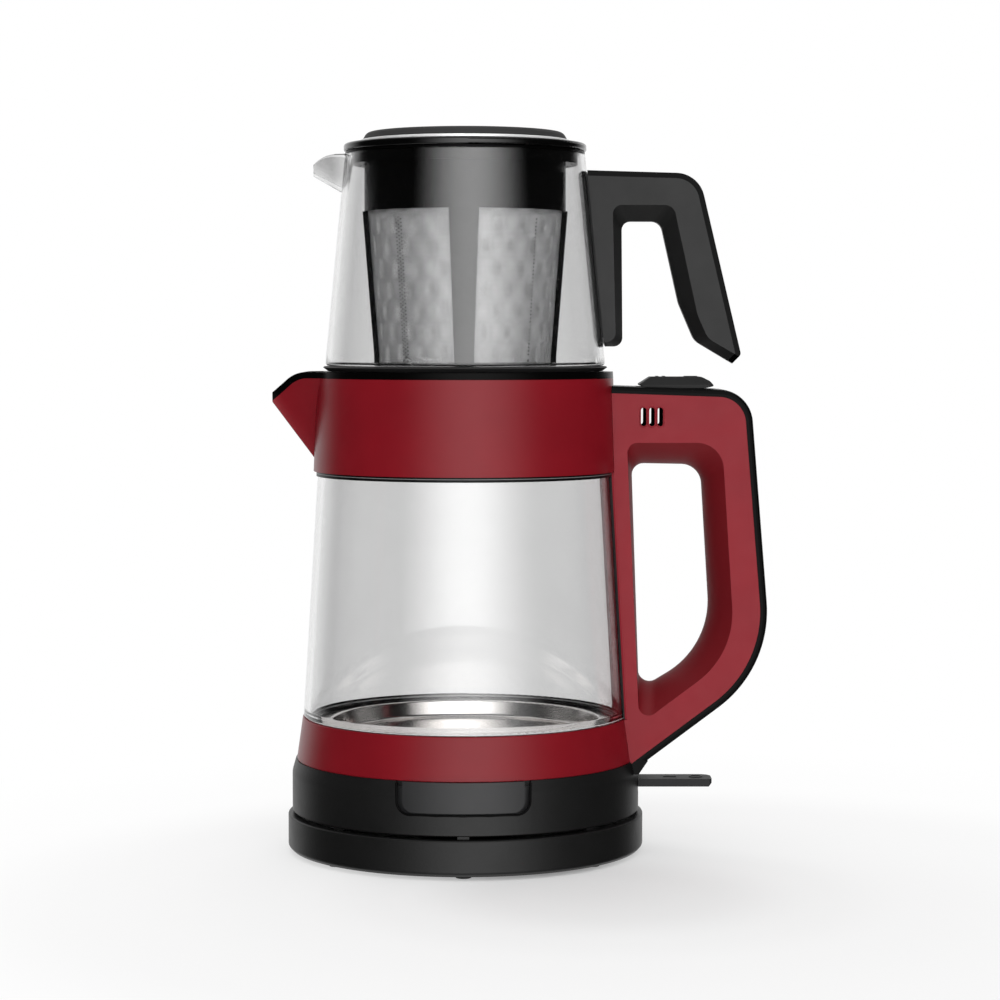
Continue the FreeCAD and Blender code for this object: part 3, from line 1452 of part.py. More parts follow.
def hook_space_wire(depth, at_face):
    """Open finger space of the hook at one depth; it is wider at the faces."""
    inside = collar_radius
    mouth = pot_top_radius + gap_mouth_reach
    below = pot_bottom - 2 * hook_close_drop
    root_top = pot_top - gap_top_drop[at_face]
    arm = pot_bottom + gap_arm_rise[at_face]
    corners = (
        (pot_top_radius + gap_root[at_face], root_top, gap_root_round),
        (pot_top_radius + gap_knuckle[at_face], root_top, gap_knuckle_round),
        (pot_top_radius + gap_waist[at_face], pot_bottom + gap_waist_rise[at_face], gap_waist_round),
        (pot_top_radius + gap_toe[at_face], pot_bottom + gap_toe_rise[at_face], gap_toe_round),
        (mouth, pot_bottom - gap_mouth_drop[at_face]), (mouth, below), (inside, below), (inside, arm),
        (pot_top_radius + gap_arm_root[at_face], arm, gap_root_round))
    return rounded_wire(corners, upright(depth))


def hook_space():
    end = pot_grip_half + edge_break
    middle = Part.Face(hook_space_wire(-gap_land, 0)).extrude(Vector(0, 2 * gap_land, 0))
    wings = [Part.makeLoft([hook_space_wire(side * gap_land, 0), hook_space_wire(side * end, 1)], True, True)
             for side in (-1, 1)]
    return joined(middle, *wings)


def pot_cone(extra):
    low = pot_bottom - 2 * hook_close_drop
    high = pot_top + beyond
    return turned((0, low), (pot_radius(low) + extra, low), (pot_radius(high) + extra, high), (0, high))


def pot_handle():
    """Hook-shaped handle, open at its foot."""
    core = slab(grown(hook_outline(), -pot_trim), pot_grip_half)
    return core.cut(hook_space()).cut(pot_cone(pot_pad))


def pot_handle_trim():
    """Glossy strip along the top and back of the hook."""
    inner = grown(hook_outline(), -pot_trim)
    strip = slab(hook_outline(), pot_grip_half).cut(slab(inner, pot_grip_half + beyond))
    strip = strip.cut(hook_space()).cut(pot_cone(pot_pad))
    return max(strip.Solids, key=lambda solid: solid.Volume)


def pot_handle_pad():
    """Bonding pad between the hook's arm and the glass."""
    half = pot_grip_half - beyond
    block = brick((0, cutter), (-half, half), (pot_bottom + pot_pad_rise, pot_top - pot_pad_top_drop))
    return pot_cone(pot_pad - fit_gap).cut(pot_cone(fit_gap)).common(block)


# ---- strainer -----------------------------------------------------------------------------------
def strainer_radius(height):
    return slope(strainer_bottom, collar_bottom, strainer_foot_radius, collar_radius, height)


def strainer_cone(inset):
    return turned((0, strainer_bottom), (strainer_radius(strainer_bottom) - inset, strainer_bottom),
                  (strainer_radius(collar_bottom) - inset, collar_bottom), (0, collar_bottom))


def strainer_collar():
    """Black ring that hangs on the pot's rim."""
    inner = collar_radius - strainer_wall
    shelf = pot_top - strainer_seat_depth
    rim = pot_top_radius - strainer_rim_inset
    return turned(
        (rim, flange_bottom), (rim, flange_top), (strainer_seat - strainer_wall, flange_top),
        (strainer_seat - strainer_wall, shelf + strainer_wall), (inner, shelf + strainer_wall),
        (inner, collar_bottom), (collar_radius, collar_bottom), (collar_radius, shelf), (strainer_seat, shelf),
        (strainer_seat, flange_bottom))


def strainer_frame():
    """Tapered ribs below the collar, with the bottom hoop and its spokes."""
    foot = rib_width_foot / 2
    top = rib_width_top / 2
    outline = [Vector(0, -foot, strainer_bottom), Vector(0, foot, strainer_bottom), Vector(0, top, collar_bottom),
               Vector(0, -top, collar_bottom)]
    blade = Part.Face(Part.makePolygon(outline + outline[:1])).extrude(Vector(collar_radius + beyond, 0, 0))
    wall = strainer_cone(0).cut(strainer_cone(strainer_wall))
    ribs = wall.common(Part.makeCompound(around(blade, rib_count)))
    hoop = wall.common(post(collar_radius, strainer_bottom, strainer_bottom + hoop_height))
    spoke_top = strainer_bottom + spoke_thickness
    spoke = brick((0, strainer_foot_radius - strainer_wall / 2), (-spoke_half, spoke_half),
                  (strainer_bottom, spoke_top))
    hub = post(hub_radius, strainer_bottom, spoke_top)
    return joined(hoop, hub, *ribs.Solids, *around(spoke, rib_count))


def strainer_mesh():
    """Fine steel gauze that lines the frame, as a thin cone."""
    gauze = strainer_cone(strainer_wall).cut(strainer_cone(strainer_wall + mesh_thickness))
    return gauze.cut(post(collar_radius, 0, strainer_bottom + spoke_thickness))


def strainer_floor():
    """Gauze disc on the spokes."""
    radius = strainer_radius(strainer_bottom) - strainer_wall - mesh_thickness - fit_gap
    bottom = strainer_bottom + spoke_thickness
    return post(radius, bottom, bottom + mesh_thickness)


# ---- teapot lid ---------------------------------------------------------------------------------
def pot_lid():
    plug_bottom = pot_lid_bottom - pot_lid_plug_depth
    plug_inner = pot_plug_radius - pot_lid_plug_wall
    return turned(
        (0, pot_lid_bottom), (plug_inner, pot_lid_bottom), (plug_inner, plug_bottom), (pot_plug_radius, plug_bottom),
        (pot_plug_radius, pot_lid_bottom), (pot_lid_radius, pot_lid_bottom, 0.8),
        (pot_lid_radius, pot_lid_shoulder, pot_lid_round), (pot_ring_radius + pot_lid_land, ring_seat),
        (0, ring_seat))


def pot_lid_ring():
    """Polished ring between the lid and its raised disc."""
    inner = pot_ring_radius - pot_ring_width
    top = ring_seat + pot_ring_height
    return turned((inner, ring_seat), (pot_ring_radius, ring_seat), (pot_ring_radius, top, 0.3), (inner, top))


def pot_lid_disc():
    """Raised disc with a rounded edge and a faintly domed top; its boss is fixed in the lid."""
    low = ring_seat + pot_ring_height
    high = low + pot_disc_height
    boss = pot_ring_radius - pot_ring_width - fit_gap
    return turned(
        (0, ring_seat), (boss, ring_seat), (boss, low), (pot_disc_radius - edge_break, low),
        (pot_disc_radius, low + edge_break), (pot_disc_radius - pot_disc_draft, high - edge_break, pot_disc_round),
        (boss / 2, high), (0, high))


def pot_lid_seal():
    """Silicone ring round the plug of the lid, with two lips."""
    bottom = pot_lid_bottom - pot_seal_drop - pot_seal_height
    step = pot_seal_height / 4
    inner = pot_plug_radius + fit_gap
    body = inner + pot_seal_body
    lip = collar_radius - strainer_wall - rest_gap
    return turned((inner, bottom), (body, bottom), (lip, bottom + step), (body, bottom + 2 * step),
                  (lip, bottom + 3 * step), (body, bottom + pot_seal_height), (inner, bottom + pot_seal_height))


# ---- all nodes ----------------------------------------------------------------------------------
nodes = {
    "base_shell": base_shell, "base_plate": base_plate, "base_feet": base_feet, "base_screws": base_screws,
    "cord_gland": cord_gland, "base_coupler": base_coupler, "coupler_contacts": coupler_contacts,
    "splash_ring": splash_ring, "kettle_housing": kettle_housing, "housing_cover": housing_cover,
    "housing_screws": housing_screws, "power_lever": power_lever, "lever_pin": lever_pin,
    "main_switch": main_switch, "indicator_window": indicator_window, "indicator_board": indicator_board,
    "kettle_socket": kettle_socket, "socket_contacts": socket_contacts, "heating_plate": heating_plate,
    "heating_element": heating_element, "thermal_control": thermal_control, "lower_seal": lower_seal,
    "lower_band": lower_band, "kettle_glass": kettle_glass, "upper_gasket": upper_gasket,
    "upper_band": upper_band, "upper_collar": upper_collar, "spout_filter": spout_filter,
    "handle_grip": handle_grip, "handle_spine": handle_spine, "handle_liner": handle_liner,
    "handle_screws": handle_screws, "vent_insert": vent_insert, "rocker_cap": rocker_cap,
    "rocker_pin": rocker_pin, "rocker_switch": rocker_switch, "kettle_lid": kettle_lid, "lid_seal": lid_seal,
    "pot_glass": pot_glass, "pot_handle": pot_handle, "pot_handle_trim": pot_handle_trim,
    "pot_handle_pad": pot_handle_pad, "strainer_collar": strainer_collar, "strainer_frame": strainer_frame,
    "strainer_mesh": strainer_mesh, "strainer_floor": strainer_floor, "pot_lid": pot_lid,
    "pot_lid_ring": pot_lid_ring, "pot_lid_disc": pot_lid_disc, "pot_lid_seal": pot_lid_seal,
}

os.makedirs("parts", exist_ok=True)
for name, make in nodes.items():
    save(name, make())
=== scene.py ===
import bmesh
import bpy
import json
import math
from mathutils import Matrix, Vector


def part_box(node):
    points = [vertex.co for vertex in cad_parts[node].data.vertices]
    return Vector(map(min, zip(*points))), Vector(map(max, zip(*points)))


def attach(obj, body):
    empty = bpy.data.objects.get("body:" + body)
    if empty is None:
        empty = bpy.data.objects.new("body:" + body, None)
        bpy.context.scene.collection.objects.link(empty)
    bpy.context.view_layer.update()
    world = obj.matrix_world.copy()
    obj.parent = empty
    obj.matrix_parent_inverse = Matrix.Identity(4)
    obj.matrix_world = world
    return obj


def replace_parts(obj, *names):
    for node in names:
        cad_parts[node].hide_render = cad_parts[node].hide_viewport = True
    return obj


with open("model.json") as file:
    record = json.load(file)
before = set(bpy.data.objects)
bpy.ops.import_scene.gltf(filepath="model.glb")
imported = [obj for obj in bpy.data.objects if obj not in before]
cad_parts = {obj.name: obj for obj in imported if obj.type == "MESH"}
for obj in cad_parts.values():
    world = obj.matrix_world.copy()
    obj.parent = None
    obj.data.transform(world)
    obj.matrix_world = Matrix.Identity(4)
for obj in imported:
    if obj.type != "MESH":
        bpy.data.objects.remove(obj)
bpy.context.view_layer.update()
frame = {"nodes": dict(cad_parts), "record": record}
nodes = frame["nodes"]

MM = 0.001

# the studio's light, by direction: facing is the turn round the object, level is 1 at the horizon
LIGHT_TURN = math.radians(7)        # soft light to the right of the camera
LIGHT_HALF_WIDTH = math.radians(58)
LIGHT_FALL = 2.2                    # power by which the soft light fades to its sides
LIGHT_LEVELS = (0.65, 0.97)
BACKDROP_FACING = (-0.9, -0.5)
OVERHEAD_LEVELS = (0.25, 0.8)
FRONT_LIGHT = 3.9
BACKDROP = 1.0
SIDE_LIGHT = 0.02
FILL_LIGHT = 0.2
TOP_LIGHT = 1.5

FLOOR_SIZE = 12.0
FLOOR_COLOUR = (0.86, 0.86, 0.86, 1.0)
# painted shadow: the floor darkens towards this point, in front of and to the right of the object
SHADOW_CENTRE = (60 * MM, -110 * MM, 0.0)
SHADOW_REACH = 500 * MM             # the floor is plain white beyond it
SHADOW_TONES = ((0.0, 0.15), (0.08, 0.2), (0.18, 0.46), (0.26, 0.57), (0.42, 0.64), (0.6, 0.93),
                (0.85, 1.0))        # (share of the reach, share of white)

CAMERA_PLACE = (15.6 * MM, -1253 * MM, 230.6 * MM)
CAMERA_TILT = math.radians(3.33)
CAMERA_LENS = 100.37
CAMERA_SENSOR = 36.0

HOUSING_RADIUS = 78.1 * MM
SLOT_COUNT = 3
SLOT_FIRST = (68.1 + 11.3) * MM
SLOT_PITCH = 3.7 * MM
SLOT_HALF_WIDTH = 1.15 * MM
SLOT_LOW = (212.6 - 21.2) * MM
SLOT_LENGTH = 8.2 * MM
SLOT_MARGIN = 2 * MM
RIM = 0.35 * MM
WINDOW_HALF_WIDTH = 28.6 * MM
WINDOW_FOOT = 27.5 * MM
WINDOW_TOP = 41.2 * MM
WINDOW_CORNER = 5.7 * MM
# painted shadow of the window's groove: a black bead of this radius, sunk this far into the housing
GROOVE_SHADOW_RADIUS = 0.45 * MM
GROOVE_SHADOW_SINK = 0.12 * MM
MARK_HEIGHT = 0.3 * MM
LINER_EDGE = 77.5 * MM              # radius beyond which the liner is red, at table height
LINER_SLOPE = -0.0619
LIP_START = 54.5 * MM
LIP_BLEND = 5.0 * MM
LIP_LOW = 285 * MM


# ---- colours ------------------------------------------------------------------------------------
def srgb(red, green, blue):
    """Display values from 0 to 255 as the linear colour that the shaders take."""
    def linear(value):
        value = value / 255
        return value / 12.92 if value <= 0.04045 else ((value + 0.055) / 1.055) ** 2.4
    return (linear(red), linear(green), linear(blue), 1.0)


def shade(colour, factor):
    """A colour made darker or lighter."""
    return tuple(channel * factor for channel in colour[:3]) + (1.0,)


# ---- node helpers -------------------------------------------------------------------------------
class Shader:
    """A material and short ways to add and join its nodes."""

    def __init__(self, name):
        self.material = bpy.data.materials.new(name)
        self.material.use_nodes = True
        self.tree = self.material.node_tree
        self.tree.nodes.clear()
        self.output = self.add("ShaderNodeOutputMaterial")
        self.surface = self.add("ShaderNodeBsdfPrincipled")
        self.join(self.surface, "BSDF", self.output, "Surface")
        self.place = self.add("ShaderNodeTexCoord")

    def add(self, kind, **settings):
        node = self.tree.nodes.new(kind)
        for key, value in settings.items():
            setattr(node, key, value)
        return node

    def join(self, source, socket, target, entry):
        self.tree.links.new(source.outputs[socket], target.inputs[entry])

    def axes(self, coordinate):
        """The X, Y and Z parts of one of the object's own coordinates."""
        separate = self.add("ShaderNodeSeparateXYZ")
        self.join(self.place, coordinate, separate, "Vector")
        return separate.outputs

    def noise(self, scale, detail=2.0, roughness=0.5):
        texture = self.add("ShaderNodeTexNoise")
        texture.inputs["Scale"].default_value = scale
        texture.inputs["Detail"].default_value = detail
        texture.inputs["Roughness"].default_value = roughness
        self.join(self.place, "Object", texture, "Vector")
        return texture

    def ramp(self, source, socket, stops):
        ramp = self.add("ShaderNodeValToRGB")
        elements = ramp.color_ramp.elements
        while len(elements) < len(stops):
            elements.new(0.5)
        for element, (position, colour) in zip(elements, stops):
            element.position = position
            element.color = colour
        self.join(source, socket, ramp, "Fac")
        return ramp

    def spread(self, source, socket, low, high):
        """Maps 0..1 to low..high."""
        scale = self.add("ShaderNodeMapRange")
        scale.inputs["To Min"].default_value = low
        scale.inputs["To Max"].default_value = high
        self.join(source, socket, scale, "Value")
        return scale

    def math(self, operation, first, second=None, third=None):
        node = self.add("ShaderNodeMath", operation=operation)
        for index, value in enumerate((first, second, third)):
            if value is None:
                continue
            if isinstance(value, (int, float)):
                node.inputs[index].default_value = value
            else:
                self.tree.links.new(value, node.inputs[index])
        return node.outputs[0]

    def within(self, value):
        """A value kept between 0 and 1."""
        return self.math("MINIMUM", self.math("MAXIMUM", value, 0.0), 1.0)

    def bump(self, height, distance):
        """Relief of a given depth from a height socket."""
        bump = self.add("ShaderNodeBump")
        bump.inputs["Distance"].default_value = distance
        self.tree.links.new(height, bump.inputs["Height"])
        self.join(bump, "Normal", self.surface, "Normal")

    def marked(self, mask, colour):
        """Another base colour where the mask is one."""
        under = self.surface.inputs["Base Color"].links[0].from_socket
        mix = self.add("ShaderNodeMix", data_type="RGBA")
        self.tree.links.new(mask, mix.inputs["Factor"])
        self.tree.links.new(under, mix.inputs["A"])
        mix.inputs["B"].default_value = colour
        self.tree.links.new(mix.outputs["Result"], self.surface.inputs["Base Color"])

    def uniform(self, **values):
        """Values that are the same all over the surface."""
        for key, value in values.items():
            self.surface.inputs[key.replace("_", " ")].default_value = value


MOTTLE = 40.0                       # clouds of tone per metre, about


def plastic(name, colour, roughness, grain=900.0, depth=0.00004, variation=0.12, shine=0.25):
    """Moulded plastic or lacquer: faint colour mottling, uneven gloss and a fine grain."""
    shader = Shader(name)
    shader.uniform(Specular_IOR_Level=shine)
    cloud = shader.noise(MOTTLE, 3.0)
    stops = ((0.3, shade(colour, 1 - variation)), (0.7, shade(colour, 1 + variation)))
    tint = shader.ramp(cloud, "Fac", stops)
    shader.join(tint, "Color", shader.surface, "Base Color")
    wear = shader.noise(MOTTLE * 3, 4.0, 0.6)
    gloss = shader.spread(wear, "Fac", roughness * 0.88, roughness * 1.12)
    shader.join(gloss, "Result", shader.surface, "Roughness")
    fine = shader.noise(grain, 2.0, 0.6)
    shader.bump(fine.outputs["Fac"], depth)
    return shader


def metal(name, colour, roughness, depth=0.00001, metallic=1.0):
    """Polished or plain metal: faint clouds of tone, uneven gloss and a fine grain."""
    shader = Shader(name)
    cloud = shader.noise(60.0, 3.0)
    tint = shader.ramp(cloud, "Fac", ((0.3, shade(colour, 0.94)), (0.7, shade(colour, 1.04))))
    shader.join(tint, "Color", shader.surface, "Base Color")
    shader.uniform(Metallic=metallic)
    grain = shader.noise(400.0, 3.0)
    gloss = shader.spread(grain, "Fac", roughness * 0.85, roughness * 1.2)
    shader.bump(grain.outputs["Fac"], depth)
    shader.join(gloss, "Result", shader.surface, "Roughness")
    return shader


def clear_glass(name, tint, passing):
    """Clear glass with very faint waviness; shadow rays pass straight through it."""
    shader = Shader(name)
    cloud = shader.noise(25.0, 2.0)
    colour = shader.ramp(cloud, "Fac", ((0.3, shade(tint, 0.985)), (0.7, tint)))
    shader.join(colour, "Color", shader.surface, "Base Color")
    shader.uniform(IOR=1.47, Transmission_Weight=1.0)
    smear = shader.noise(90.0, 3.0)
    gloss = shader.spread(smear, "Fac", 0.0, 0.004)
    shader.join(gloss, "Result", shader.surface, "Roughness")
    wave = shader.noise(9.0, 0.0)
    shader.bump(wave.outputs["Fac"], 0.000008)
    path = shader.add("ShaderNodeLightPath")
    through = shader.add("ShaderNodeBsdfTransparent")
    through.inputs["Color"].default_value = (passing, passing, passing, 1.0)
    mix = shader.add("ShaderNodeMixShader")
    shader.join(path, "Is Shadow Ray", mix, "Fac")
    shader.tree.links.new(shader.surface.outputs["BSDF"], mix.inputs[1])
    shader.tree.links.new(through.outputs["BSDF"], mix.inputs[2])
    shader.join(mix, "Shader", shader.output, "Surface")
    return shader


GAUZE_RADIUS = 42 * MM
BLOTCH_COUNT = 22.0
BLOTCH_HEIGHT = 19 * MM


def gauze(name, colour, pitch):
    """Woven steel gauze: crossing wires with open holes and faint blotches of weave."""
    shader = Shader(name)
    cloud = shader.noise(60.0, 3.0)
    tint = shader.ramp(cloud, "Fac", ((0.3, shade(colour, 0.92)), (0.7, shade(colour, 1.06))))
    shader.join(tint, "Color", shader.surface, "Base Color")
    shader.uniform(Metallic=0.2, Specular_IOR_Level=0.3)
    gloss = shader.spread(shader.noise(300.0), "Fac", 0.5, 0.7)
    shader.join(gloss, "Result", shader.surface, "Roughness")
    place = shader.axes("Object")
    turn = shader.math("ARCTAN2", place["Y"], place["X"])
    height = place["Z"]

    def wave(source, count):
        return shader.math("SINE", shader.math("MULTIPLY", source, count))

    hoops = shader.math("ABSOLUTE", wave(height, math.pi / pitch))
    strands = shader.math("ABSOLUTE", wave(turn, round(math.pi * GAUZE_RADIUS / pitch)))
    weave = shader.math("MULTIPLY", hoops, strands)
    shader.bump(weave, 0.0001)
    rows = wave(height, 2 * math.pi / BLOTCH_HEIGHT)
    blotches = shader.math("MULTIPLY", wave(turn, BLOTCH_COUNT), rows)
    swirl = shader.spread(shader.noise(90.0, 1.0), "Fac", -0.4, 0.4)
    blotches = shader.math("ADD", blotches, swirl.outputs["Result"])
    passing = shader.math("MULTIPLY_ADD", blotches, 0.25, 0.5)
    opening = shader.math("MULTIPLY", passing, shader.math("MULTIPLY_ADD", weave, 0.6, 0.76))
    cover = shader.math("SUBTRACT", 1.0, opening)
    shader.tree.links.new(cover, shader.surface.inputs["Alpha"])
    return shader


# ---- finishes -----------------------------------------------------------------------------------
RED = srgb(117, 11, 23)
HANDLE_RED = srgb(125, 13, 27)
# painted shade: a darker red for the faces inside the handle's loop
SHADED_LOOP_RED = srgb(104, 4, 15)
CHARCOAL = srgb(21, 21, 21)
SATIN_BLACK = srgb(42, 42, 42)
GLOSS_BLACK = srgb(4, 4, 4)
# painted shade: a darker black for the faces inside the pot handle's loop
SHADED_LOOP_BLACK = srgb(27, 27, 27)
GLASS_TINT = (0.82, 0.82, 0.82, 1.0)
# painted shade: a darker tint for the glass of the pouring lip
LIP_SHADE_TINT = (0.66, 0.66, 0.66, 1.0)
GLASS_PASSING = 0.85                # share of the light that the glass lets into its shadow

finishes = {
    "housing_plastic": plastic("housing_plastic", CHARCOAL, 0.42, 700, shine=0.21).material,
    "inner_plastic": plastic("inner_plastic", srgb(28, 28, 29), 0.5).material,
    "black_plastic": plastic("black_plastic", GLOSS_BLACK, 0.14, 300, 4e-6, 0.05, 0.36).material,
    "satin_black": plastic("satin_black", SATIN_BLACK, 0.5, 1100, 0.00003, shine=0.15).material,
    "lever_plastic": plastic("lever_plastic", srgb(70, 70, 71), 0.45, 1100, 0.00003).material,
    "red_metal": plastic("red_metal", RED, 0.33, 1600, 0.00002, 0.06, shine=0.21).material,
    "red_plastic": plastic("red_plastic", HANDLE_RED, 0.58, 1600, 0.00002, 0.06, 0.3).material,
    "clear_glass": clear_glass("clear_glass", GLASS_TINT, GLASS_PASSING).material,
    "smoked_window": plastic("smoked_window", srgb(34, 34, 35), 0.35, 500, 0.00001).material,
    "steel": metal("steel", srgb(238, 234, 231), 0.14, depth=0.0000003).material,
    "gauze": gauze("gauze", srgb(210, 210, 211), 0.00055).material,
    # painted reflection: the polished ring is near-white and mostly not metallic, its reflection of
    # the white surroundings painted into its colour
    "polished_ring": metal("polished_ring", srgb(245, 245, 245), 0.25, metallic=0.2).material,
    "screw_steel": metal("screw_steel", srgb(170, 170, 173), 0.35).material,
    "heater_alloy": metal("heater_alloy", srgb(190, 190, 192), 0.45, depth=0.00005).material,
    "contact_brass": metal("contact_brass", srgb(205, 175, 100), 0.3).material,
    "silicone": plastic("silicone", srgb(26, 26, 27), 0.6).material,
    "foot_rubber": plastic("foot_rubber", srgb(22, 22, 22), 0.8, 600, 0.0001).material,
    "circuit_board": plastic("circuit_board", srgb(24, 84, 44), 0.35).material,
}

for part in frame["record"]["subparts"]:
    mesh = nodes[part["node"]].data
    mesh.materials.clear()
    mesh.materials.append(finishes[part["material_slot"]])

deep_black = plastic("deep_black", GLOSS_BLACK, 0.25, 300, 0.000004, 0.05, shine=0.04).material
for node in ("strainer_collar", "upper_collar", "handle_spine", "pot_handle_trim",
             "strainer_frame"):
    nodes[node].data.materials[0] = deep_black
matte_disc = plastic("matte_disc", srgb(52, 52, 52), 0.6, 1100, 0.00003, 0.05, shine=0.1).material
nodes["pot_lid_disc"].data.materials[0] = matte_disc


def sideways_shade_mask(shader):
    """One on faces that look neither forwards nor backwards, such as those in a handle's loop; it
    marks where painted shade goes.
    """
    facing = shader.axes("Normal")
    across = shader.math("SUBTRACT", 0.98, shader.math("ABSOLUTE", facing["Y"]))
    return shader.within(shader.math("MULTIPLY", across, 8.0))


def highlight_bands(name, node, bands):
    """A ring whose tone changes with height, its light bands painted highlights; each band is
    (share of the height, tone).
    """
    shader = plastic(name, srgb(20, 20, 20), 0.35, shine=0.1)
    low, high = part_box(node)[0][2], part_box(node)[1][2]
    share = shader.add("ShaderNodeMapRange")
    share.inputs["From Min"].default_value = low
    share.inputs["From Max"].default_value = high
    shader.tree.links.new(shader.axes("Object")["Z"], share.inputs["Value"])
    stops = [(position, srgb(tone, tone, tone)) for position, tone in bands]
    ramp = shader.ramp(share, "Result", stops)
    ramp.color_ramp.interpolation = "CONSTANT"
    shader.join(ramp, "Color", shader.surface, "Base Color")
    nodes[node].data.materials[0] = shader.material


# painted highlight: a light band across the dark gasket
highlight_bands("gasket_silicone_painted_highlight", "upper_gasket", ((0.0, 10), (0.115, 120), (0.148, 3)))
# painted highlight: a white band and a grey one near the top of the dark seal
highlight_bands("seal_silicone_painted_highlight", "lower_seal", ((0.0, 8), (0.84, 215), (0.93, 60)))


def slot_walls():
    """Dull black inside the slots: in the handle it is painted shade on the slot walls, and the
    insert behind them is dull black.
    """
    dull_black = plastic("dull_black", GLOSS_BLACK, 0.9, shine=0.0)
    nodes["vent_insert"].data.materials[0] = dull_black.material
    shader = plastic("slotted_red_plastic_painted_shade", HANDLE_RED, 0.58, 1600, 0.00002, 0.06, 0.3)
    # painted shade: the faces in the handle's loop are darker red
    shader.marked(sideways_shade_mask(shader), SHADED_LOOP_RED)
    place = shader.axes("Object")
    facing = shader.axes("Normal")
    mask = shader.math("LESS_THAN", shader.math("ABSOLUTE", facing["Y"]), 0.6)
    last = SLOT_FIRST + (SLOT_COUNT - 1) * SLOT_PITCH
    limits = (("X", SLOT_FIRST - SLOT_MARGIN, last + SLOT_MARGIN),
              ("Z", SLOT_LOW - SLOT_MARGIN / 2, SLOT_LOW + SLOT_LENGTH + SLOT_MARGIN / 2))
    for axis, low, high in limits:
        mask = shader.math("MULTIPLY", mask, shader.math("GREATER_THAN", place[axis], low))
        mask = shader.math("MULTIPLY", mask, shader.math("LESS_THAN", place[axis], high))
    # painted shade: the slot walls, faces turned sideways near the slots, are painted black and
    # matte
    shader.marked(mask, GLOSS_BLACK)
    gloss = shader.surface.inputs["Roughness"].links[0].from_socket
    shader.tree.links.new(shader.math("MAXIMUM", gloss, mask), shader.surface.inputs["Roughness"])
    nodes["handle_grip"].data.materials[0] = shader.material


slot_walls()


# painted shade: the faces in the pot handle's loop are darker
pot_handle_painted_shade = plastic("pot_handle_plastic_painted_shade", SATIN_BLACK, 0.5, 1100, 0.00003, shine=0.15)
pot_handle_painted_shade.marked(sideways_shade_mask(pot_handle_painted_shade), SHADED_LOOP_BLACK)
nodes["pot_handle"].data.materials[0] = pot_handle_painted_shade.material


def liner_finish():
    """Black next to the glass and red beyond, where the handle's own edge begins."""
    shader = plastic("liner_plastic", GLOSS_BLACK, 0.4, shine=0.1)
    place = shader.axes("Object")
    squares = [shader.math("POWER", place[axis], 2.0) for axis in ("X", "Y")]
    radius = shader.math("SQRT", shader.math("ADD", *squares))
    edge = shader.math("MULTIPLY_ADD", place["Z"], LINER_SLOPE, LINER_EDGE)
    shader.marked(shader.math("GREATER_THAN", radius, edge), HANDLE_RED)
    nodes["handle_liner"].data.materials[0] = shader.material


liner_finish()


def lip_painted_shade():
    """The pot's glass, with painted shade: a deeper tone where it is drawn out into the pouring
    lip.
    """
    shader = clear_glass("pot_glass_lip_shade", GLASS_TINT, GLASS_PASSING)
    place = shader.axes("Object")
    reach = shader.math("MULTIPLY_ADD", place["X"], -1 / LIP_BLEND, -LIP_START / LIP_BLEND)
    high = shader.math("GREATER_THAN", place["Z"], LIP_LOW)
    # painted shade on the pouring lip
    shader.marked(shader.math("MULTIPLY", shader.within(reach), high), LIP_SHADE_TINT)
    nodes["pot_glass"].data.materials[0] = shader.material


lip_painted_shade()


def marked_top(name, node, colour, shine):
    """A moulded part whose raised marks, the highest faces on it, are black."""
    shader = plastic(name, colour, 0.5, 1100, 0.00003, shine=shine)
    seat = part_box(node)[1][2] - 0.95 * MARK_HEIGHT
    shader.marked(shader.math("GREATER_THAN", shader.axes("Object")["Z"], seat), GLOSS_BLACK)
    nodes[node].data.materials[0] = shader.material


marked_top("rocker_plastic", "rocker_cap", srgb(33, 33, 33), 0.15)
marked_top("lever_plastic_marked", "power_lever", srgb(39, 39, 40), 0.12)


def standing(name, mesh, body):
    """A piece in the scene that rides on a body."""
    piece = bpy.data.objects.new(name, mesh)
    bpy.context.scene.collection.objects.link(piece)
    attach(piece, body)
    return piece


def smoothed(mesh, finish):
    for polygon in mesh.polygons:
        polygon.use_smooth = True
    mesh.materials.clear()
    mesh.materials.append(finish)


def reshaped(name, node, body, place):
    """A copy of a part with its points moved, standing for that part."""
    mesh = nodes[node].data.copy()
    mesh.name = name
    for vertex in mesh.vertices:
        vertex.co = place(vertex.co)
    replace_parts(standing(name, mesh, body), node)


STRAINER_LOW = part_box("strainer_frame")[0][2]
STRAINER_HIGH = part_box("strainer_frame")[1][2]
STRAINER_DROP = 2.2 * MM            # the strainer all but stands on the pot's thin floor
STRAINER_WALL = 1.4 * MM
HOOP_HEIGHT = 2.6 * MM
HOOP_SHARE = 0.25
COLLAR_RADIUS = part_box("strainer_frame")[1][0]
FOOT_RADIUS = COLLAR_RADIUS - 5.4 * MM
RIB_EXTRA = 0.9 * MM
SEAM_PITCH = 1.5 * MM
SEAM_MARGIN = 0.6 * MM
WELD_SIZE = 0.42 * MM
WELD_PROUD = 0.1 * MM
SEAM_ROWS = ((-132.9, 0.0), (-131.0, 0.5), (-129.1, 0.0), (-44.0, 0.0), (47.1, 0.0), (49.0, 0.5),
             (50.9, 0.0), (136.0, 0.0))      # (degrees round the axis, shift in pitches)

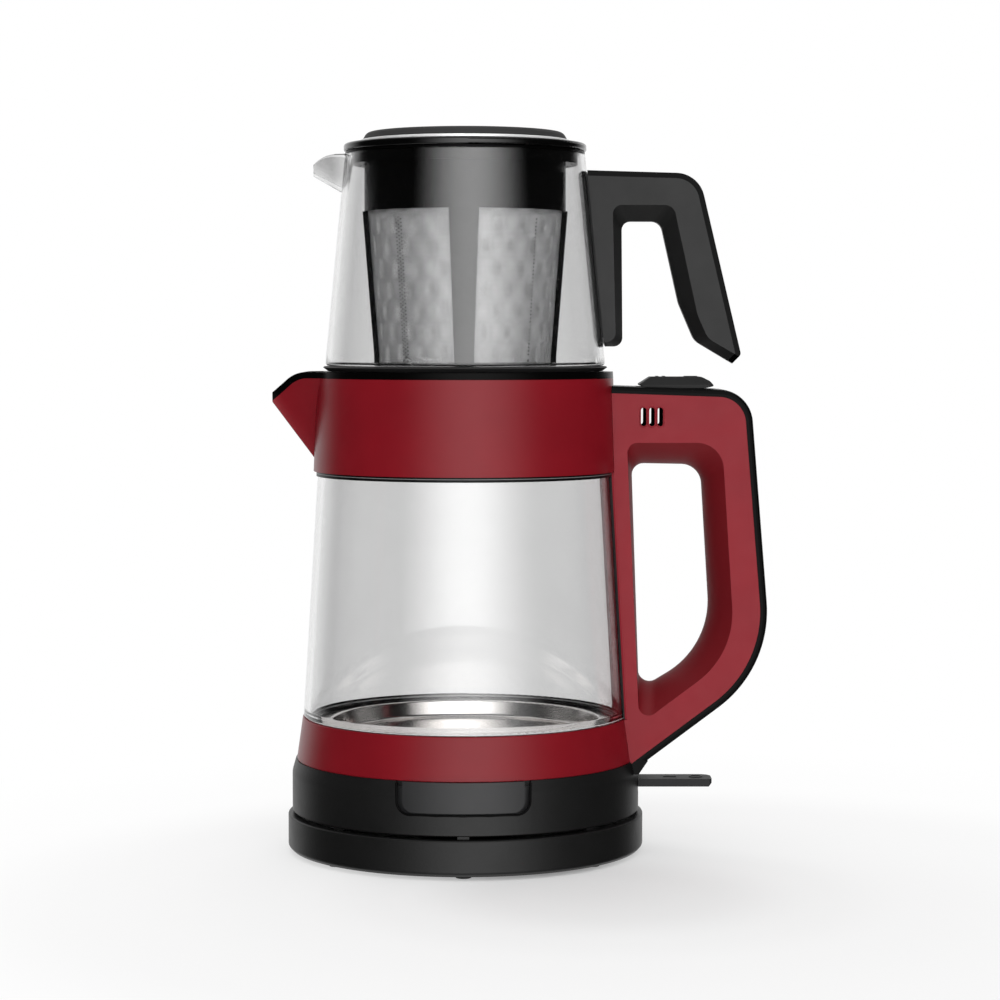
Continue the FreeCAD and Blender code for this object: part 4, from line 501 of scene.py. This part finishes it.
# the pot's rounded corners as the part has them, each (centre radius, centre height, corner radius)
POT_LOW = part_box("pot_glass")[0][2]
POT_FLOOR = POT_LOW + 2.8 * MM
HEEL = (58.3 * MM, POT_LOW + 4.4 * MM, 4.4 * MM)
HEEL_INSIDE = (57.0 * MM, POT_LOW + 6.05 * MM, 3.25 * MM)
HEEL_REACH = 62.7 * MM
HEEL_INSIDE_REACH = 60.3 * MM
POT_RECESS_RADIUS = 55 * MM
POT_RECESS_HEIGHT = 0.1 * MM
FLOOR_DROP = 1.9 * MM
CORNER_SHARE = 0.3

DISC_SHOULDER = 318.4 * MM
DISC_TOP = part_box("pot_lid_disc")[1][2]
DISC_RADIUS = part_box("pot_lid_disc")[1][0]
DISC_TAPER = 1.8 * MM


def lengthened(point):
    """Lowers the strainer's foot and flattens its hoop; the top stays where it hangs."""
    rise = point.z - STRAINER_LOW
    if rise < HOOP_HEIGHT:
        return Vector((point.x, point.y, STRAINER_LOW - STRAINER_DROP + rise * HOOP_SHARE))
    share = (STRAINER_HIGH - point.z) / (STRAINER_HIGH - STRAINER_LOW - HOOP_HEIGHT)
    drop = STRAINER_DROP + HOOP_HEIGHT * (1 - HOOP_SHARE)
    return Vector((point.x, point.y, point.z - drop * share))


def strainer_radius(height):
    share = (height - STRAINER_LOW) / (STRAINER_HIGH - STRAINER_LOW)
    return FOOT_RADIUS + (COLLAR_RADIUS - FOOT_RADIUS) * share


def ribbed(point):
    """The strainer's frame, lengthened, with the outer faces of its two side ribs raised."""
    radius = math.hypot(point.x, point.y)
    outside = radius > strainer_radius(point.z) - 0.4 * STRAINER_WALL
    if outside and abs(point.x) > 3 * abs(point.y):
        scale = (radius + RIB_EXTRA) / radius
        point = Vector((point.x * scale, point.y * scale, point.z))
    return lengthened(point)


def nearer(point, radius, corner_radius, corner_height, drop):
    """A point of a rounded corner drawn towards the sharp corner, and lowered."""
    height = corner_height + (point.z - corner_height) * CORNER_SHARE - drop
    scale = (corner_radius + (radius - corner_radius) * CORNER_SHARE) / radius
    return Vector((point.x * scale, point.y * scale, height))


def on_corner(point, radius, corner, slack):
    """Whether a point lies on a rounded corner's arc."""
    centre_radius, centre_height, corner_radius = corner
    distance = math.hypot(radius - centre_radius, point.z - centre_height)
    return abs(distance - corner_radius) < slack


def thinned(point):
    """Brings the pot's inner floor down to a thin one and sharpens its heel; the height stays."""
    radius = math.hypot(point.x, point.y)
    rise = point.z - POT_LOW
    if rise < 4.5 * MM and radius > 57.9 * MM and on_corner(point, radius, HEEL, 0.3 * MM):
        return nearer(point, radius, HEEL_REACH, POT_LOW, 0.0)
    if rise < 6.2 * MM and radius > 56.5 * MM and on_corner(point, radius, HEEL_INSIDE, 0.4 * MM):
        return nearer(point, radius, HEEL_INSIDE_REACH, POT_FLOOR, FLOOR_DROP)
    if abs(point.z - POT_FLOOR) < 0.3 * MM:
        return Vector((point.x, point.y, point.z - FLOOR_DROP))
    if 0.05 * MM < rise < 1.2 * MM and radius < POT_RECESS_RADIUS:
        return Vector((point.x, point.y, POT_LOW + POT_RECESS_HEIGHT))
    return point.copy()


def tube(name, points, radius, body, finish, closed=True):
    """A round bead along points, closed to a ring or with capped ends."""
    curve = bpy.data.curves.new(name, "CURVE")
    curve.dimensions = "3D"
    curve.bevel_depth = radius
    curve.bevel_resolution = 3
    curve.use_fill_caps = not closed
    spline = curve.splines.new("POLY")
    spline.points.add(len(points) - 1)
    for target, point in zip(spline.points, points):
        target.co = (point.x, point.y, point.z, 1.0)
    spline.use_cyclic_u = closed
    source = bpy.data.objects.new(name + "_path", curve)
    bpy.context.scene.collection.objects.link(source)
    bpy.context.view_layer.update()
    mesh = bpy.data.meshes.new_from_object(source)
    mesh.name = name
    bpy.data.objects.remove(source)
    smoothed(mesh, finish)
    standing(name, mesh, body)


def stadium(centre_x, low, high, half_width, steps=10):
    """Outline of an upright slot with round ends, as (x, z) pairs."""
    outline = []
    for middle, start in ((high - half_width, 0.0), (low + half_width, math.pi)):
        for step in range(steps + 1):
            angle = start + math.pi * step / steps
            outline.append((centre_x + half_width * math.cos(angle),
                            middle + half_width * math.sin(angle)))
    return outline


def on_face(node, x, z, side):
    """The point of a node's outer face at x and z, looked up along y from one side."""
    start = Vector((x, side * 200 * MM, z))
    return nodes[node].ray_cast(start, Vector((0.0, -side, 0.0)))[1]


for index in range(SLOT_COUNT):
    for side, hand in ((-1, "right"), (1, "left")):
        outline = stadium(SLOT_FIRST + index * SLOT_PITCH, SLOT_LOW - RIM,
                          SLOT_LOW + SLOT_LENGTH + RIM, SLOT_HALF_WIDTH + RIM)
        points = [on_face("handle_grip", x, z, side) for x, z in outline]
        tube("slot_rim_%s_%d" % (hand, index), points, RIM, "kettle", finishes["red_plastic"])


def window_groove_shadow():
    """Painted shadow: a dark line round the sides and foot of the window, lying on the housing
    where the window's inset groove is in shade.
    """
    inset = WINDOW_HALF_WIDTH - WINDOW_CORNER
    line = [(-WINDOW_HALF_WIDTH, WINDOW_TOP)]
    for centre, start in ((-inset, math.pi), (inset, 1.5 * math.pi)):
        for step in range(9):
            angle = start + step * math.pi / 16
            line.append((centre + WINDOW_CORNER * math.cos(angle),
                         WINDOW_FOOT + WINDOW_CORNER + WINDOW_CORNER * math.sin(angle)))
    line.append((WINDOW_HALF_WIDTH, WINDOW_TOP))
    points = []
    for (x, z), (next_x, next_z) in zip(line, line[1:] + line[-1:]):
        for share in (0.0, 0.25, 0.5, 0.75):
            across = x + (next_x - x) * share
            depth = math.sqrt(HOUSING_RADIUS ** 2 - across ** 2) - GROOVE_SHADOW_SINK
            points.append(Vector((across, -depth, z + (next_z - z) * share)))
    tube("window_groove_shadow", points[:-3], GROOVE_SHADOW_RADIUS, "kettle", deep_black,
         closed=False)


window_groove_shadow()


def strainer_seams():
    """Rows of weld dots down the gauze, a wide seam and a narrow one, on each side."""
    mesh = bpy.data.meshes.new("strainer_seams")
    build = bmesh.new()
    count = int((STRAINER_HIGH - SEAM_MARGIN - STRAINER_LOW) / SEAM_PITCH) - 1
    for angle, shift in SEAM_ROWS:
        turn = math.radians(angle)
        for step in range(count):
            height = STRAINER_LOW + (step + 0.5 + shift) * SEAM_PITCH
            radius = strainer_radius(height) - STRAINER_WALL + WELD_PROUD
            place = Vector((radius * math.cos(turn), radius * math.sin(turn), height))
            dot = bmesh.ops.create_icosphere(build, subdivisions=1, radius=WELD_SIZE)
            bmesh.ops.scale(build, vec=Vector((1.0, 1.0, 0.9)), verts=dot["verts"])
            bmesh.ops.translate(build, vec=lengthened(place), verts=dot["verts"])
    build.to_mesh(mesh)
    build.free()
    smoothed(mesh, metal("weld_steel", srgb(92, 92, 93), 0.5, metallic=0.3).material)
    standing("strainer_seams", mesh, "strainer")


for node, name, place in (("strainer_frame", "strainer_ribs", ribbed),
                          ("strainer_mesh", "strainer_wall_gauze", lengthened),
                          ("strainer_floor", "strainer_floor_gauze", lengthened)):
    reshaped(name, node, "strainer", place)
strainer_seams()


def tapered(point):
    """The lid's disc, drawn in a little towards its top."""
    radius = math.hypot(point.x, point.y)
    if radius < 0.9 * DISC_RADIUS:
        return point.copy()
    share = max(0.0, (point.z - DISC_SHOULDER) / (DISC_TOP - DISC_SHOULDER))
    scale = 1 - DISC_TAPER * share / radius
    return Vector((point.x * scale, point.y * scale, point.z))


reshaped("pot_lid_crown", "pot_lid_disc", "teapot_cover", tapered)
reshaped("pot_glass_shell", "pot_glass", "teapot", thinned)


# ---- stage --------------------------------------------------------------------------------------
def flat_plane(name, size, height):
    half = size / 2
    mesh = bpy.data.meshes.new(name)
    corners = [(-half, -half, height), (half, -half, height), (half, half, height),
               (-half, half, height)]
    mesh.from_pydata(corners, [], [(0, 1, 2, 3)])
    plane = bpy.data.objects.new(name, mesh)
    bpy.context.scene.collection.objects.link(plane)
    return plane


def studio_floor():
    """Pale floor that keeps the object's cast shadow, adds painted shadow round a point in front of
    the object and fades into the white background.
    """
    shader = Shader("studio_floor")
    shader.tree.nodes.remove(shader.surface)
    diffuse = shader.add("ShaderNodeBsdfDiffuse")
    diffuse.inputs["Color"].default_value = FLOOR_COLOUR
    glow = shader.add("ShaderNodeEmission")
    glow.inputs["Strength"].default_value = 1.0
    offset = shader.add("ShaderNodeVectorMath", operation="DISTANCE")
    shader.join(shader.place, "Object", offset, "Vector")
    offset.inputs[1].default_value = SHADOW_CENTRE
    nearness = shader.math("DIVIDE", offset.outputs["Value"], SHADOW_REACH)
    painted_shadow_ramp = shader.add("ShaderNodeValToRGB")
    painted_shadow_ramp.color_ramp.interpolation = "EASE"
    elements = painted_shadow_ramp.color_ramp.elements
    while len(elements) < len(SHADOW_TONES):
        elements.new(0.5)
    for element, (position, tone) in zip(elements, SHADOW_TONES):
        element.position = position
        element.color = (tone, tone, tone, 1.0)
    shader.tree.links.new(nearness, painted_shadow_ramp.inputs["Fac"])
    path = shader.add("ShaderNodeLightPath")
    looked_at = shader.math("MAXIMUM", path.outputs["Is Camera Ray"],
                            path.outputs["Is Transmission Ray"])
    seen = shader.math("MULTIPLY", painted_shadow_ramp.outputs["Color"], looked_at)
    mix = shader.add("ShaderNodeMixShader")
    shader.tree.links.new(seen, mix.inputs["Fac"])
    shader.tree.links.new(diffuse.outputs["BSDF"], mix.inputs[1])
    shader.tree.links.new(glow.outputs["Emission"], mix.inputs[2])
    open_floor = shader.add("ShaderNodeBsdfTransparent")
    reflected = shader.add("ShaderNodeMixShader")
    shader.join(path, "Is Glossy Ray", reflected, "Fac")
    shader.tree.links.new(mix.outputs["Shader"], reflected.inputs[1])
    shader.tree.links.new(open_floor.outputs["BSDF"], reflected.inputs[2])
    shader.join(reflected, "Shader", shader.output, "Surface")
    floor = flat_plane("studio_floor", FLOOR_SIZE, 0.0)
    floor.data.materials.append(shader.material)


def studio_world():
    """A white backdrop, a broad soft light behind the camera, dark sides and a light from above."""
    world = bpy.data.worlds.new("studio")
    bpy.context.scene.world = world
    world.use_nodes = True
    tree = world.node_tree
    tree.nodes.clear()

    def node(kind, **settings):
        made = tree.nodes.new(kind)
        for key, value in settings.items():
            setattr(made, key, value)
        return made

    def math_node(operation, first, second):
        made = node("ShaderNodeMath", operation=operation)
        for index, value in enumerate((first, second)):
            if isinstance(value, (int, float)):
                made.inputs[index].default_value = value
            else:
                tree.links.new(value, made.inputs[index])
        return made.outputs[0]

    def ranged(source, low, high, first, last):
        made = node("ShaderNodeMapRange", interpolation_type="SMOOTHSTEP")
        limits = (("From Min", low), ("From Max", high), ("To Min", first), ("To Max", last))
        for key, value in limits:
            made.inputs[key].default_value = value
        tree.links.new(source, made.inputs["Value"])
        return made.outputs["Result"]

    place = node("ShaderNodeTexCoord")
    flat = node("ShaderNodeVectorMath", operation="MULTIPLY")
    flat.inputs[1].default_value = (1.0, 1.0, 0.0)
    tree.links.new(place.outputs["Generated"], flat.inputs[0])
    heading = node("ShaderNodeVectorMath", operation="NORMALIZE")
    tree.links.new(flat.outputs["Vector"], heading.inputs[0])
    facing = node("ShaderNodeVectorMath", operation="DOT_PRODUCT")
    facing.inputs[1].default_value = (math.sin(LIGHT_TURN), -math.cos(LIGHT_TURN), 0.0)
    tree.links.new(heading.outputs["Vector"], facing.inputs[0])
    level = node("ShaderNodeVectorMath", operation="LENGTH")
    tree.links.new(flat.outputs["Vector"], level.inputs[0])

    edge = math.cos(LIGHT_HALF_WIDTH)
    inside = math_node("DIVIDE", math_node("SUBTRACT", facing.outputs["Value"], edge), 1 - edge)
    bell = math_node("POWER", math_node("MAXIMUM", inside, 0.0), LIGHT_FALL)
    height = ranged(level.outputs["Value"], *LIGHT_LEVELS, 0.0, FRONT_LIGHT)
    front = math_node("MULTIPLY", bell, height)
    behind = ranged(facing.outputs["Value"], *BACKDROP_FACING, BACKDROP, SIDE_LIGHT)
    around = math_node("ADD", front, behind)
    overhead = ranged(level.outputs["Value"], *OVERHEAD_LEVELS, 0.0, 1.0)
    low_part = math_node("MULTIPLY", around, overhead)
    high_part = math_node("MULTIPLY", math_node("SUBTRACT", 1.0, overhead), TOP_LIGHT)
    path = node("ShaderNodeLightPath")
    fill = math_node("MULTIPLY", path.outputs["Is Diffuse Ray"], FILL_LIGHT)
    strength = math_node("ADD", math_node("ADD", low_part, high_part), fill)

    output = node("ShaderNodeOutputWorld")
    seen = node("ShaderNodeBackground")
    seen.inputs["Color"].default_value = (1.0, 1.0, 1.0, 1.0)
    light = node("ShaderNodeBackground")
    light.inputs["Color"].default_value = (1.0, 1.0, 1.0, 1.0)
    tree.links.new(strength, light.inputs["Strength"])
    mix = node("ShaderNodeMixShader")
    bounces = math_node("ADD", path.outputs["Glossy Depth"], path.outputs["Diffuse Depth"])
    unturned = math_node("LESS_THAN", bounces, 0.5)
    straight = math_node("MULTIPLY", path.outputs["Is Transmission Ray"], unturned)
    tree.links.new(math_node("MAXIMUM", path.outputs["Is Camera Ray"], straight), mix.inputs["Fac"])
    tree.links.new(light.outputs["Background"], mix.inputs[1])
    tree.links.new(seen.outputs["Background"], mix.inputs[2])
    tree.links.new(mix.outputs["Shader"], output.inputs["Surface"])


def studio_camera():
    """The photograph's viewpoint, a long lens a little above the middle of the object."""
    data = bpy.data.cameras.new("camera")
    data.sensor_width = CAMERA_SENSOR
    data.lens = CAMERA_LENS
    camera = bpy.data.objects.new("camera", data)
    camera.location = CAMERA_PLACE
    camera.rotation_euler = (math.radians(90) - CAMERA_TILT, 0.0, 0.0)
    bpy.context.scene.collection.objects.link(camera)
    bpy.context.scene.camera = camera


bpy.context.scene.view_settings.view_transform = "Standard"
studio_floor()
studio_world()
studio_camera()
